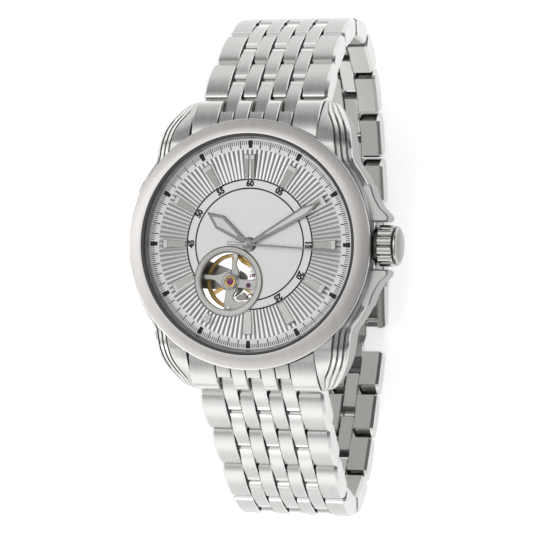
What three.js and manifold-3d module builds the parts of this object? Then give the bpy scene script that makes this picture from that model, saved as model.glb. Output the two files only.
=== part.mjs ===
// Automatic open-heart wristwatch on a steel bracelet, in millimetres.
// Frame: +Z out of the dial, +Y towards 12 o'clock, +X towards the crown.
// Origin: centre of the case back's outer face, the face that rests on the wrist.
import * as THREE from 'three';
import { mergeVertices } from 'three/addons/utils/BufferGeometryUtils.js';
import Module from 'manifold-3d';

const wasm = await Module();
wasm.setup();

// ---------------------------------------------------------------- driving dimensions
const GAP = 0.1;                    // clearance between neighbouring pieces
const DIAL_TOP = 9.2;               // height of the dial's face above the wrist face
const DIAL_THICK = 0.4;
const BEZEL_OUTER = 19.9;
const BEZEL_INNER = 17.5;
const BODY_RADIUS = 19.7;           // mid case wall under the end links
const FLANK_HALF = 20.2;            // mid case half width at 3 and 9 o'clock
const MOVEMENT_RADIUS = 13.1;
const CAVITY_RADIUS = 14.6;
const BACK_RADIUS = 17.4;
const BACK_GLASS = 13.3;            // radius of the window in the case back
const HEART = { x: -3.35, y: -5.9 };   // centre of the dial aperture and of the balance
const HEART_OPENING = 4.55;
const STEM_Z = 5.8;                 // height of the crown's axis
const LUG_GAP_HALF = 10.6;          // half of the space between the lugs
const LUG_TIP = 23.2;
const SPRING_BAR = { y: 20.7, z: 3.0 };

const PITCH = 8.3;                  // bracelet pitch along its pins
const LINK_THICK = 3.7;
const PIN_DEPTH = 1.9;              // pin axis below the outer face
const COLUMN = 2.46;                // width of one narrow column
const ROW_HALF = 9.75;              // half width that the bracelet narrows to
const ROW_FLARE = 1.4;              // how much wider it is at the case, halved with every row
const SIDE_GAP = 0.06;              // half the gap between two columns
const PIN_R = 0.42;
const PIN_HOLE_R = 0.58;
const PIN_REACH = 8.2;              // half length of a hinge pin
const FIRST_PIN = { y: 21.35, z: 2.1 };
const END_SLOPE = 36;               // slope of the end link's tail, degrees below horizontal
const SLOPES_12 = [43, 52, 67, 96, 129, 150, 161, 166];
const SLOPES_6 = [42, 43, 46, 68, 122, 149, 154, 154];
const CLASP_SLOPE = 175;

// ---------------------------------------------------------------- materials
function steel(colour, roughness) {
  return new THREE.MeshStandardMaterial({ color: colour, roughness: roughness, metalness: 1 });
}
const BRUSHED = steel(0xb9b8b5, 0.38);
const POLISHED = steel(0xd2d2d0, 0.12);
const BRASS = steel(0xc8973c, 0.3);
const SILVER = new THREE.MeshStandardMaterial({ color: 0xd9d9d6, roughness: 0.45, metalness: 0.6 });
const RUBY = new THREE.MeshStandardMaterial({ color: 0xb01030, roughness: 0.05, metalness: 0 });
const RUBBER = new THREE.MeshStandardMaterial({ color: 0x151515, roughness: 0.8, metalness: 0 });
const GLASS = new THREE.MeshStandardMaterial({
  color: 0xf4f8fa, roughness: 0.02, metalness: 0, transparent: true, opacity: 0.2,
});

// ---------------------------------------------------------------- solid helpers
function signedVolume(geometry) {
  const p = geometry.attributes.position;
  const index = geometry.index.array;
  const a = new THREE.Vector3();
  const b = new THREE.Vector3();
  const c = new THREE.Vector3();
  let sum = 0;
  for (let i = 0; i < index.length; i += 3) {
    a.fromBufferAttribute(p, index[i]);
    b.fromBufferAttribute(p, index[i + 1]);
    c.fromBufferAttribute(p, index[i + 2]);
    sum += a.dot(b.cross(c)) / 6;
  }
  return sum;
}

// Shares vertices, drops collapsed triangles and turns the faces outwards.
function closed(source) {
  const bare = source.clone();
  bare.deleteAttribute('normal');
  bare.deleteAttribute('uv');
  const geometry = mergeVertices(bare, 1e-4);
  const old = geometry.index.array;
  const kept = [];
  for (let i = 0; i < old.length; i += 3) {
    const [a, b, c] = [old[i], old[i + 1], old[i + 2]];
    if (a !== b && b !== c && c !== a) kept.push(a, b, c);
  }
  geometry.setIndex(kept);
  if (signedVolume(geometry) < 0) geometry.setIndex(kept.reverse());
  return geometry;
}

function toManifold(geometry) {
  const g = closed(geometry);
  return new wasm.Manifold(new wasm.Mesh({
    numProp: 3,
    vertProperties: new Float32Array(g.attributes.position.array),
    triVerts: new Uint32Array(g.index.array),
  }));
}

function fromManifold(solid) {
  const mesh = solid.getMesh();
  const geometry = new THREE.BufferGeometry();
  geometry.setAttribute('position', new THREE.BufferAttribute(new Float32Array(mesh.vertProperties), 3));
  geometry.setIndex(Array.from(mesh.triVerts));
  return geometry;
}

function join(...parts) {
  return fromManifold(parts.map(toManifold).reduce((sum, part) => sum.add(part)));
}

function cut(body, ...tools) {
  return fromManifold(tools.map(toManifold).reduce((rest, tool) => rest.subtract(tool), toManifold(body)));
}

function common(a, b) {
  return fromManifold(toManifold(a).intersect(toManifold(b)));
}

// ---------------------------------------------------------------- shape helpers
function outline(points) {
  return new THREE.Shape(points.map(([x, y]) => new THREE.Vector2(x, y)));
}

function plateZ(shape, low, high, segments = 24) {
  const depth = high - low;
  const g = new THREE.ExtrudeGeometry(shape, { depth: depth, bevelEnabled: false, curveSegments: segments });
  return g.translate(0, 0, low);
}

// Extrudes an outline given in the Y-Z plane along X.
function barX(points, low, high) {
  const g = new THREE.ExtrudeGeometry(outline(points), { depth: high - low, bevelEnabled: false });
  g.translate(0, 0, low);
  const cycle = new THREE.Matrix4().set(0, 0, 1, 0, 1, 0, 0, 0, 0, 1, 0, 0, 0, 0, 0, 1);
  return g.applyMatrix4(cycle);
}

// Revolves a profile of [radius, height] points about a vertical axis at (x, y).
function turned(profile, segments = 32, x = 0, y = 0) {
  const points = profile.map(([r, z]) => new THREE.Vector2(r, z));
  const g = new THREE.LatheGeometry(points, segments);
  return closed(g.rotateX(Math.PI / 2).translate(x, y, 0));
}

function ring(inner, outer, low, high, segments = 32, x = 0, y = 0) {
  return turned([[inner, low], [outer, low], [outer, high], [inner, high], [inner, low]], segments, x, y);
}

function discZ(radius, low, high, segments = 24, x = 0, y = 0) {
  return turned([[0, low], [radius, low], [radius, high], [0, high]], segments, x, y);
}

function rodX(radius, low, high, y, z, segments = 8) {
  const g = new THREE.CylinderGeometry(radius, radius, high - low, segments);
  return g.rotateZ(Math.PI / 2).translate((low + high) / 2, y, z);
}

function boxAt(x, y, z, width, depth, height) {
  return new THREE.BoxGeometry(width, depth, height).translate(x, y, z);
}

function turnedAbout(geometry, angle, x = 0, y = 0) {
  return geometry.translate(-x, -y, 0).rotateZ(angle).translate(x, y, 0);
}

// ---------------------------------------------------------------- the assembly
const watch = new THREE.Group();

function place(name, geometry, material) {
  const mesh = new THREE.Mesh(closed(geometry), material);
  mesh.name = name;
  watch.add(mesh);
}

// ---------------------------------------------------------------- case
// Plan outline of the mid case: barrel flanks that run into four lugs.
function caseOutline() {
  const quarter = [
    [LUG_GAP_HALF, LUG_TIP], [12.6, LUG_TIP - 0.5], [14.3, 20.7], [15.5, 18.4], [16.1, 15.8], [16.3, 13.4],
    [17.8, 11.4], [19.2, 8.6], [19.9, 5.2], [FLANK_HALF, 0],
  ];
  const mirrored = quarter.slice(0, -1).reverse().map(([x, y]) => [x, -y]);
  const right = [...quarter, ...mirrored];
  const left = right.slice().reverse().map(([x, y]) => [-x, y]);
  return outline([...right, ...left]);
}

// Side view of the case: a flat top that bends down into the lugs.
function caseSideView() {
  const top = DIAL_TOP - 0.35;
  const half = [[14.2, top], [17.4, top - 0.7], [19.8, top - 2.2], [21.8, top - 4.3], [LUG_TIP, top - 6.2],
    [LUG_TIP, 1.1], [18.4, 1.0]];
  const other = half.slice().reverse().map(([y, z]) => [-y, z]);
  return [...half, ...other];
}

function crownGuard(sign) {
  const shape = outline([[18.0, 3.75], [22.0, 3.75], [22.3, 4.2], [22.1, 4.75], [20.9, 5.9], [19.9, 7.6],
    [19.2, 9.6], [18.0, 9.6]].map(([x, y]) => [x, sign * y]));
  return plateZ(shape, STEM_Z - 2.6, STEM_Z + 2.1);
}

// Long grooves that leave stepped ribs on the outside of a lug.
function lugGroove(signX, signY, x, z) {
  return boxAt(signX * x, signY * 17.5, z, 0.45, 10, 0.5);
}

function midCase() {
  const plan = new THREE.ExtrudeGeometry(caseOutline(), {
    depth: 6.2, bevelEnabled: true, bevelThickness: 0.8, bevelSize: 0.5, bevelOffset: -0.5, bevelSegments: 1,
  }).translate(0, 0, 1.85);
  const body = common(plan, barX(caseSideView(), -24, 24));
  const withGuards = join(body, crownGuard(1), crownGuard(-1));
  const tools = [
    discZ(BACK_RADIUS + GAP, -1, 2.1, 36),
    discZ(CAVITY_RADIUS, 1, 8.4, 24),
    discZ(BEZEL_INNER - 0.3, 8.3, 12, 40),
    rodX(2.0, 10, 18.6, 0, STEM_Z, 12),
    rodX(3.6, 19.3, 25, 0, STEM_Z, 16),
    rodX(1.3, 18, 20, 0, STEM_Z, 12),
  ];
  for (const signY of [1, -1]) {
    const pocket = boxAt(0, signY * (BODY_RADIUS - 2), 6, 2 * LUG_GAP_HALF, 16, 20);
    tools.push(cut(pocket, discZ(BODY_RADIUS, -10, 20, 40)));
    tools.push(rodX(0.8, -18, 18, signY * SPRING_BAR.y, SPRING_BAR.z, 10));
    for (const signX of [1, -1]) {
      tools.push(lugGroove(signX, signY, 16.0, 6.6));
      tools.push(lugGroove(signX, signY, 16.2, 5.2));
    }
  }
  return cut(withGuards, ...tools);
}

function bezel() {
  const low = DIAL_TOP - 0.3;
  const profile = [
    [BEZEL_INNER, low], [BEZEL_OUTER - 0.3, low], [BEZEL_OUTER, low + 0.4], [BEZEL_OUTER, low + 0.9],
    [BEZEL_OUTER - 0.15, DIAL_TOP + 0.75], [BEZEL_INNER + 0.15, DIAL_TOP + 1.8],
    [BEZEL_INNER, DIAL_TOP + 1.7], [BEZEL_INNER, low],
  ];
  return turned(profile, 40);
}

function endLink(sign) {
  const top = DIAL_TOP - 1.6;
  const chain = chainOf(sign);
  const tail = laid(rowProfile().slice(3, 6), chain[0].start, END_SLOPE, sign);
  const mirror = ([y, z]) => [sign * y, z];
  const side = [[15.0, top], [18.0, top - 0.2], [20.2, top - 1.35], [22.4, top - 3.2]].map(mirror);
  const under = [[19.4, 0.9], [15.0, 1.2]].map(mirror);
  const half = LUG_GAP_HALF - GAP;
  const block = barX([...side, ...tail, ...under], -half, half);
  const whole = join(block, ...fingers(chain[0]), pin(chain[0]));
  const caseWall = discZ(BODY_RADIUS + GAP, -10, 20, 40);
  return cut(whole, caseWall, rodX(0.75, -12, 12, sign * SPRING_BAR.y, SPRING_BAR.z, 10));
}

// ---------------------------------------------------------------- bracelet geometry
// A chain station holds the slope of its wide row (A) and of the fingers (B) that leave it,
// the pin it hangs on (start), the pin where its fingers begin (mid) and the next hinge pin (end).
function along(point, slope, distance, sign) {
  const angle = THREE.MathUtils.degToRad(slope);
  return { y: point.y + sign * distance * Math.cos(angle), z: point.z - distance * Math.sin(angle) };
}

function chainOf(sign) {
  const slopes = [END_SLOPE, ...(sign > 0 ? SLOPES_12 : SLOPES_6), CLASP_SLOPE];
  const stations = [];
  let mid = { y: sign * FIRST_PIN.y, z: FIRST_PIN.z };
  let start = along(mid, END_SLOPE, -PITCH / 2, sign);
  for (let i = 0; i < slopes.length - 1; i += 1) {
    const fingerSlope = (slopes[i] + slopes[i + 1]) / 2;
    const end = along(mid, fingerSlope, PITCH / 2, sign);
    const half = ROW_HALF + ROW_FLARE * 0.5 ** i;
    stations.push({ sign: sign, index: i, slope: slopes[i], fingerSlope: fingerSlope, start: start, mid: mid,
      end: end, half: half });
    start = end;
    mid = along(end, slopes[i + 1], PITCH / 2, sign);
  }
  return stations;
}

// Places a profile of [distance along, depth below the pin line] points from a pin along a slope.
function laid(profile, point, slope, sign) {
  const angle = THREE.MathUtils.degToRad(slope);
  const [c, s] = [Math.cos(angle), Math.sin(angle)];
  return profile.map(([u, v]) => [point.y + sign * (u * c - v * s), point.z - u * s - v * c]);
}

// Profile of a wide row: from a quarter pitch before its first pin to a quarter pitch after its second.
function rowProfile() {
  const low = -PITCH / 4 + GAP;
  const high = PITCH * 0.75 - GAP;
  const [top, bottom] = [-PIN_DEPTH, LINK_THICK - PIN_DEPTH];
  return [
    [low, top + 1.1], [low + 0.55, top + 0.3], [PITCH / 4, top], [high - 0.55, top + 0.3],
    [high, top + 1.1], [high - 0.9, bottom], [low + 0.9, bottom],
  ];
}

// Profile of one finger, rounded about its two pins.
function fingerProfile() {
  const reach = PITCH / 4 - GAP;
  const [top, bottom] = [-PIN_DEPTH + 0.15, LINK_THICK - PIN_DEPTH - 0.3];
  return [[-reach, 0], [-reach + 0.6, top + 0.2], [PITCH / 4, top], [PITCH / 2 + reach - 0.6, top + 0.2],
    [PITCH / 2 + reach, 0], [PITCH / 2 + reach - 0.9, bottom], [-reach + 0.9, bottom]];
}

// The same profile in each of the three finger columns, grown sideways by a margin.
function columns(profile, margin) {
  return [-2, 0, 2].map((column) => {
    const x = column * COLUMN;
    return barX(profile, x - COLUMN / 2 - margin, x + COLUMN / 2 + margin);
  });
}

function fingers(station) {
  const profile = laid(fingerProfile(), station.mid, station.fingerSlope, station.sign);
  return columns(profile, -SIDE_GAP);
}

function pin(station) {
  return rodX(PIN_R, -PIN_REACH, PIN_REACH, station.end.y, station.end.z, 6);
}

// Clear space that the previous station's fingers swing in.
function fingerSlots(station, reach = PITCH / 4) {
  const wide = 2.6;
  const profile = laid([[-wide, -3], [reach, -3], [reach, 3], [-wide, 3]], station.start, station.slope,
    station.sign);
  return columns(profile, SIDE_GAP);
}

function bore(station) {
  const reach = PIN_REACH + GAP;
  return rodX(PIN_HOLE_R, -reach, reach, station.start.y, station.start.z, 6);
}

function row(station) {
  const profile = laid(rowProfile(), station.start, station.slope, station.sign);
  return cut(barX(profile, -station.half, station.half), ...fingerSlots(station), bore(station));
}

function link(station) {
  return join(row(station), ...fingers(station), pin(station));
}

// The last link on the 6 o'clock side takes the clasp blade's prongs where fingers would leave it.
function bladeLink(station) {
  const turnedStation = { ...station, start: station.mid, slope: station.slope + 180, sign: station.sign };
  return cut(row(station), ...fingerSlots(turnedStation, 1.35), bore(turnedStation));
}

// ---------------------------------------------------------------- clasp
const CHAIN_12 = chainOf(1);
const CHAIN_6 = chainOf(-1);
const CLASP_PIN = CHAIN_12.at(-1).end;      // the cover hangs on this pin
const BLADE_PIN = CHAIN_6.at(-1).mid;       // the inner blade hangs on this pin
const COVER_LENGTH = 21.3;
const COVER_START = -1.6;
const CLASP_HALF = 9.6;
const COVER_WALL = 1.3;
const BLADE_HALF = 6.2;
const BUTTON = { u: 11.5, v: 0.35, radius: 1.0 };
const FOLD_PIN = { u: 3.9, v: 0.35 };       // hinge between the two blades

// Points given along the clasp from the cover's pin, and towards the wrist from that pin.
function claspLaid(points) {
  return laid(points, CLASP_PIN, CLASP_SLOPE, 1);
}

function claspRod(radius, low, high, centre, segments = 8) {
  const [y, z] = claspLaid([[centre.u, centre.v]])[0];
  return rodX(radius, low, high, y, z, segments);
}

function claspCover() {
  const end = COVER_LENGTH + COVER_START;
  const outer = claspLaid([[COVER_START, -1.2], [COVER_START + 0.9, -1.9], [9.5, -2.3], [end - 0.7, -2.0],
    [end, -1.3], [end, 1.0], [17.5, 1.5], [3.5, 1.6], [-0.9, 1.6], [COVER_START, 0.9]]);
  const inner = claspLaid([[1.9, -0.95], [end + 1, -0.95], [end + 1, 4], [1.9, 4]]);
  const mouth = claspLaid([[-3, -4], [2.0, -4], [2.0, 4], [-3, 4]]);
  const slots = columns(mouth, SIDE_GAP);
  const inside = CLASP_HALF - COVER_WALL;
  const shell = cut(barX(outer, -CLASP_HALF, CLASP_HALF), barX(inner, -inside, inside), ...slots,
    claspRod(BUTTON.radius + GAP, -12, 12, BUTTON, 12));
  const pivot = { u: end - 1.4, v: 0.3 };
  const stub = (sign) => claspRod(0.45, sign > 0 ? BLADE_HALF + GAP : -inside - 0.5,
    sign > 0 ? inside + 0.5 : -BLADE_HALF - GAP, pivot);
  return cut(join(shell, stub(1), stub(-1)), rodX(PIN_HOLE_R, -8.3, 8.3, CLASP_PIN.y, CLASP_PIN.z, 6));
}

function claspButton(sign) {
  const inside = CLASP_HALF - COVER_WALL;
  const span = (low, high) => (sign > 0 ? [low, high] : [-high, -low]);
  const head = claspRod(BUTTON.radius, ...span(inside - 0.3, CLASP_HALF + 0.55), BUTTON, 12);
  const flange = claspRod(BUTTON.radius + 0.22, ...span(inside - 0.7, inside - 0.15), BUTTON, 12);
  return join(head, flange);
}

// The outer blade lies folded under the cover; its free end stops beside the cover's pivot stubs.
function outerBlade() {
  const end = COVER_LENGTH + COVER_START;
  const plate = claspLaid([[FOLD_PIN.u, -0.5], [end - 0.9, -0.5], [end - 0.6, -0.1], [end - 0.9, 0.25],
    [FOLD_PIN.u, 0.25]]);
  const knuckle = claspRod(0.85, -3, 3, FOLD_PIN, 10);
  const blade = join(barX(plate, -BLADE_HALF, BLADE_HALF), knuckle);
  return cut(blade, knuckleRelief(), claspRod(0.5, -4, 4, FOLD_PIN, 8));
}

// Space for the inner blade's two side knuckles.
function knuckleRelief() {
  const space = claspLaid([[FOLD_PIN.u - 1.2, -2], [FOLD_PIN.u + 1.1, -2], [FOLD_PIN.u + 1.1, 3],
    [FOLD_PIN.u - 1.2, 3]]);
  return join(barX(space, 3 + GAP, 9), barX(space, -9, -3 - GAP));
}

function innerBlade() {
  const blade = { y: BLADE_PIN.y, z: BLADE_PIN.z };
  const angle = THREE.MathUtils.degToRad(CLASP_SLOPE);
  const dy = blade.y - CLASP_PIN.y;
  const dz = blade.z - CLASP_PIN.z;
  const pinU = dy * Math.cos(angle) - dz * Math.sin(angle);
  const pinV = -dy * Math.sin(angle) - dz * Math.cos(angle);
  const plate = claspLaid([
    [FOLD_PIN.u, 0.55], [pinU - 4.2, 0.55], [pinU - 3.4, pinV - 0.9], [pinU - 2.6, pinV - 1.0],
    [pinU - 2.6, pinV + 0.9], [pinU - 4.4, 1.25], [FOLD_PIN.u, 1.25],
  ]);
  const centreRelief = claspLaid([[FOLD_PIN.u - 2, -1], [FOLD_PIN.u + 1.3, -1], [FOLD_PIN.u + 1.3, 3],
    [FOLD_PIN.u - 2, 3]]);
  const sideKnuckles = join(claspRod(0.85, 3 + GAP, BLADE_HALF, FOLD_PIN, 10),
    claspRod(0.85, -BLADE_HALF, -3 - GAP, FOLD_PIN, 10));
  const folded = join(cut(barX(plate, -BLADE_HALF, BLADE_HALF), barX(centreRelief, -3 - GAP, 3 + GAP)),
    sideKnuckles, claspRod(0.38, -4, 4, FOLD_PIN, 8));
  const prongEnd = claspLaid([[pinU - 3.3, pinV - 0.9], [pinU - 1.1, pinV - 1.5], [pinU + 0.7, pinV - 1.1],
    [pinU + 1.2, pinV], [pinU + 0.7, pinV + 1.0], [pinU - 3.3, pinV + 0.9]]);
  const prongs = columns(prongEnd, -SIDE_GAP);
  const rod = rodX(PIN_R, -PIN_REACH, PIN_REACH, BLADE_PIN.y, BLADE_PIN.z, 6);
  return join(folded, ...prongs, rod);
}

// ---------------------------------------------------------------- crown and stem
const CROWN_R = 3.35;
const CROWN_INNER = 20.5;
const FLUTES = 12;

function crown() {
  const shape = new THREE.Shape();
  for (let i = 0; i <= 2 * FLUTES; i += 1) {
    const angle = (i * Math.PI) / FLUTES;
    const radius = i % 2 ? CROWN_R - 0.3 : CROWN_R;
    const [x, y] = [radius * Math.cos(angle), radius * Math.sin(angle)];
    if (i === 0) shape.moveTo(x, y); else if (i < 2 * FLUTES) shape.lineTo(x, y);
  }
  const fluted = plateZ(shape, 0, 2.7);
  const cap = turned([[0, 2.6], [CROWN_R - 0.1, 2.6], [CROWN_R - 0.05, 3.1], [2.2, 3.6], [0, 3.7]], 28);
  const skirt = discZ(2.6, -0.6, 0.1, 20);
  const socket = discZ(1.35, -1, 1.4, 16);
  const hole = discZ(0.55, -1, 2.2, 12);
  return laidOnX(cut(join(fluted, cap, skirt), socket, hole), CROWN_INNER);
}

// Turns a solid built about +Z so that it lies about the stem's axis, its base at x.
function laidOnX(geometry, x) {
  return geometry.rotateY(Math.PI / 2).translate(x, 0, STEM_Z);
}

function windingStem() {
  return laidOnX(join(discZ(0.5, 0, 12.9, 10), discZ(0.8, 0.4, 1.6, 10), discZ(0.3, -0.8, 0.1, 8)), 9.7);
}

function crownTube() {
  return laidOnX(cut(join(discZ(1.2, 0, 3.2, 12), discZ(1.9, 0, 0.5, 12)), discZ(0.65, -1, 5, 10)), 17.95);
}

function settingLever() {
  const shape = outline([
    [-2.2, -0.7], [0.6, -0.9], [1.4, 1.2], [0.8, 3.4], [-0.2, 3.4], [0.1, 1.4], [-2.2, 0.7],
  ]);
  return plateZ(shape, 7.05, 7.45).translate(9.3, 0, 0);
}

// ---------------------------------------------------------------- glazing, dial and hands
const RING_INNER = 16.65;           // inner radius of the chapter ring
const HAND_HOLE = 1.15;             // hole for the hands' pipes in the dial and the main plate
const MARKER_END = 14.4;            // outer end of every hour marker

function chapterRing() {
  const [foot, brow, outer] = [DIAL_TOP + 0.05, DIAL_TOP + 0.95, BEZEL_INNER - 0.35];
  const profile = [
    [RING_INNER, foot], [outer, foot], [outer, brow], [outer - 0.15, brow],
    [RING_INNER, DIAL_TOP + 0.15], [RING_INNER, foot],
  ];
  return turned(profile, 32);
}

function crystal() {
  const base = DIAL_TOP + 1.15;
  return turned([[0, base], [BEZEL_INNER - 0.45, base], [BEZEL_INNER - 0.45, base + 0.55],
    [BEZEL_INNER - 0.75, base + 0.75], [0, base + 0.85]], 32);
}

function hourMarker(hour) {
  const inner = hour === 7 ? 12.9 : 10.9;
  const offsets = hour === 12 ? [-0.8, 0.8] : [0];
  return offsets.map((shift) => {
    const length = MARKER_END - inner;
    const bar = boxAt(shift, (inner + MARKER_END) / 2, DIAL_TOP + 0.05, 1.1, length, 0.3);
    return bar.rotateZ((-hour * Math.PI) / 6);
  });
}

function dial() {
  const plate = discZ(MOVEMENT_RADIUS + 3.9, DIAL_TOP - DIAL_THICK, DIAL_TOP, 40);
  const markers = [];
  for (let hour = 1; hour <= 12; hour += 1) markers.push(...hourMarker(hour));
  const heart = discZ(HEART_OPENING + 0.5, 5, 12, 28, HEART.x, HEART.y);
  return cut(join(plate, ...markers), discZ(HAND_HOLE, 5, 12, 16), heart);
}

function apertureRing() {
  const [inner, outer, top] = [HEART_OPENING, HEART_OPENING + 1.1, DIAL_TOP + 0.22];
  return turned([[inner, DIAL_TOP - 0.35], [inner + 0.4, DIAL_TOP - 0.35], [inner + 0.4, DIAL_TOP + 0.04],
    [outer, DIAL_TOP + 0.04], [outer, DIAL_TOP + 0.1], [outer - 0.25, top], [inner + 0.15, top],
    [inner, DIAL_TOP + 0.1], [inner, DIAL_TOP - 0.35]], 28, HEART.x, HEART.y);
}

// A lance-shaped hand that points to 12 o'clock: widest at a given reach, narrow at the hub.
function lance(length, reach, width, low, high) {
  const [half, neck] = [width / 2, 0.3];
  return plateZ(outline([[0, length], [-half, reach], [-neck, 0.6], [-neck, -0.6], [neck, -0.6], [neck, 0.6],
    [half, reach]]), low, high);
}

function clockwise(geometry, degrees) {
  return geometry.rotateZ(THREE.MathUtils.degToRad(-degrees));
}

const HOUR_ANGLE = 306;
const MINUTE_ANGLE = 60;
const SECOND_ANGLE = 93.6;

function hourHand() {
  const low = DIAL_TOP + 0.3;
  const blade = join(lance(8.6, 6.0, 2.4, low, low + 0.18), discZ(1.05, low, low + 0.18, 20));
  const pipe = discZ(1.0, DIAL_TOP - 1.3, low + 0.05, 16);
  return clockwise(cut(join(blade, pipe), discZ(0.72, 5, 12, 16)), HOUR_ANGLE);
}

function minuteHand() {
  const low = DIAL_TOP + 0.58;
  const blade = join(lance(13.4, 10.6, 1.6, low, low + 0.18), discZ(0.9, low, low + 0.18, 20));
  const pipe = discZ(0.64, DIAL_TOP - 2.8, low + 0.05, 16);
  return clockwise(cut(join(blade, pipe), discZ(0.36, 5, 12, 12)), MINUTE_ANGLE);
}

function secondsHand() {
  const low = DIAL_TOP + 0.86;
  const shape = outline([[0.1, 14.2], [-0.1, 14.2], [-0.16, 0], [-0.28, -3.4], [0.28, -3.4], [0.16, 0]]);
  const needle = plateZ(shape, low, low + 0.1);
  const hub = discZ(0.6, low, low + 0.1, 16);
  const arbor = discZ(0.22, 5.6, low + 0.16, 10);
  return clockwise(join(needle, hub, arbor), SECOND_ANGLE);
}

// ---------------------------------------------------------------- movement
const PALLET = { x: -0.25, y: -6.5 };       // axes of the movement's moving pieces
const ESCAPE = { x: 1.3, y: -3.8 };
const THIRD = { x: 4.1, y: -1.2 };
const BARREL = { x: 3.5, y: 5.35 };

// A spoked wheel on an arbor, with an optional pinion.
function wheel({ x, y, radius, low, high, spokes = 3, rim = 0.6, hub = 0.7, arbor, pinion, bored = 0 }) {
  const pieces = [ring(radius - rim, radius, low, high, 18, x, y), discZ(hub, low, high, 12, x, y)];
  for (let i = 0; i < spokes; i += 1) {
    const spoke = boxAt(x, y + radius / 2, (low + high) / 2, 0.45, radius - rim * 0.6, high - low);
    pieces.push(turnedAbout(spoke, (2 * Math.PI * i) / spokes, x, y));
  }
  pieces.push(discZ(arbor.radius, arbor.low, arbor.high, 10, x, y));
  if (pinion) pieces.push(discZ(pinion.radius, pinion.low, pinion.high, 12, x, y));
  const solid = join(...pieces);
  return bored ? cut(solid, discZ(bored, 0, 12, 10, x, y)) : solid;
}

function centerWheel() {
  return wheel({
    x: 0, y: 0, radius: 3.72, low: 5.35, high: 5.55, bored: 0.3,
    arbor: { radius: 0.7, low: 5.22, high: 6.3 },
    pinion: { radius: 0.8, low: 5.8, high: 6.3 },
  });
}

function fourthWheel() {
  return wheel({
    x: 0, y: 0, radius: 3.65, low: 4.7, high: 4.9,
    arbor: { radius: 0.2, low: 4.55, high: 5.55 },
    pinion: { radius: 0.5, low: 4.85, high: 5.17 },
  });
}

function thirdWheel() {
  return wheel({
    ...THIRD, radius: 3.5, low: 5.02, high: 5.17,
    arbor: { radius: 0.25, low: 4.6, high: 5.8 },
    pinion: { radius: 0.44, low: 5.3, high: 5.65 },
  });
}

function movementRing() {
  const band = ring(MOVEMENT_RADIUS + GAP, CAVITY_RADIUS - GAP, 3.1, 8.3, 24);
  return cut(band, rodX(1.3, 10, 16, 0, STEM_Z, 12));
}

function mainPlate() {
  const plate = discZ(MOVEMENT_RADIUS, 7.6, 8.7, 24);
  return cut(plate, discZ(HAND_HOLE, 5, 12, 16), discZ(4.9, 5, 12, 24, HEART.x, HEART.y));
}

// The dial-side bridge seen in the aperture: four arms about the balance jewel.
function balanceBridge() {
  const pieces = [discZ(1.1, 7.7, 8.35, 16, HEART.x, HEART.y)];
  for (const [degrees, width] of [[79, 1.1], [172, 1.2], [-68, 2.8], [-10, 1.7]]) {
    const arm = boxAt(HEART.x + 2.3, HEART.y, 8.0, 4.6, width, 0.5);
    pieces.push(turnedAbout(arm, THREE.MathUtils.degToRad(degrees), HEART.x, HEART.y));
  }
  pieces.push(discZ(0.9, 7.75, 8.25, 14, PALLET.x, PALLET.y));
  const staffHole = discZ(0.3, 7, 9, 10, HEART.x, HEART.y);
  const jewelSeat = discZ(0.9, 8.18, 9, 16, HEART.x, HEART.y);
  return cut(join(...pieces), staffHole, jewelSeat);
}

// The ruby in its setting, on top of the bridge and over the end of the balance staff.
function balanceJewel() {
  const profile = [[0, 8.26], [0.82, 8.26], [0.82, 8.48], [0.7, 8.55], [0.5, 8.46], [0, 8.44]];
  return turned(profile, 16, HEART.x, HEART.y);
}

function balanceWheel() {
  const { x, y } = HEART;
  const rimPart = ring(3.85, 4.35, 6.0, 6.55, 24, x, y);
  const arms = [0, 1, 2].map((i) => {
    const arm = boxAt(x, y + 2.0, 6.25, 0.5, 3.9, 0.3);
    return turnedAbout(arm, (2 * Math.PI * i) / 3, x, y);
  });
  const staff = join(discZ(0.24, 5.15, 8.2, 10, x, y), discZ(0.75, 6.0, 6.5, 12, x, y));
  return join(rimPart, ...arms, staff);
}

// A flat spiral spring: one strip wound from the collet outwards.
function hairspring() {
  const [turns, steps, inner, outer, half] = [3.5, 34, 0.42, 2.15, 0.06];
  const edge = (offset) => Array.from({ length: steps + 1 }, (_, i) => {
    const t = i / steps;
    const angle = t * turns * 2 * Math.PI;
    const radius = inner + (outer - inner) * t + offset;
    return [HEART.x + radius * Math.cos(angle), HEART.y + radius * Math.sin(angle)];
  });
  return plateZ(outline([...edge(half), ...edge(-half).reverse()]), 5.55, 5.75);
}

function escapeWheel() {
  const teeth = 15;
  const shape = new THREE.Shape();
  for (let i = 0; i < teeth; i += 1) {
    const angle = (i * 2 * Math.PI) / teeth;
    const point = (radius, turn) => [radius * Math.cos(angle + turn), radius * Math.sin(angle + turn)];
    if (i === 0) shape.moveTo(...point(1.55, 0)); else shape.lineTo(...point(1.55, 0));
    shape.lineTo(...point(2.05, 0.1));
    shape.lineTo(...point(1.98, 0.17));
    shape.lineTo(...point(1.55, 0.22));
  }
  const body = plateZ(shape, 7.0, 7.15).translate(ESCAPE.x, ESCAPE.y, 0);
  const arbor = discZ(0.2, 4.6, 7.5, 8, ESCAPE.x, ESCAPE.y);
  const pinion = discZ(0.27, 4.65, 4.95, 10, ESCAPE.x, ESCAPE.y);
  return join(body, arbor, pinion);
}

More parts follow.
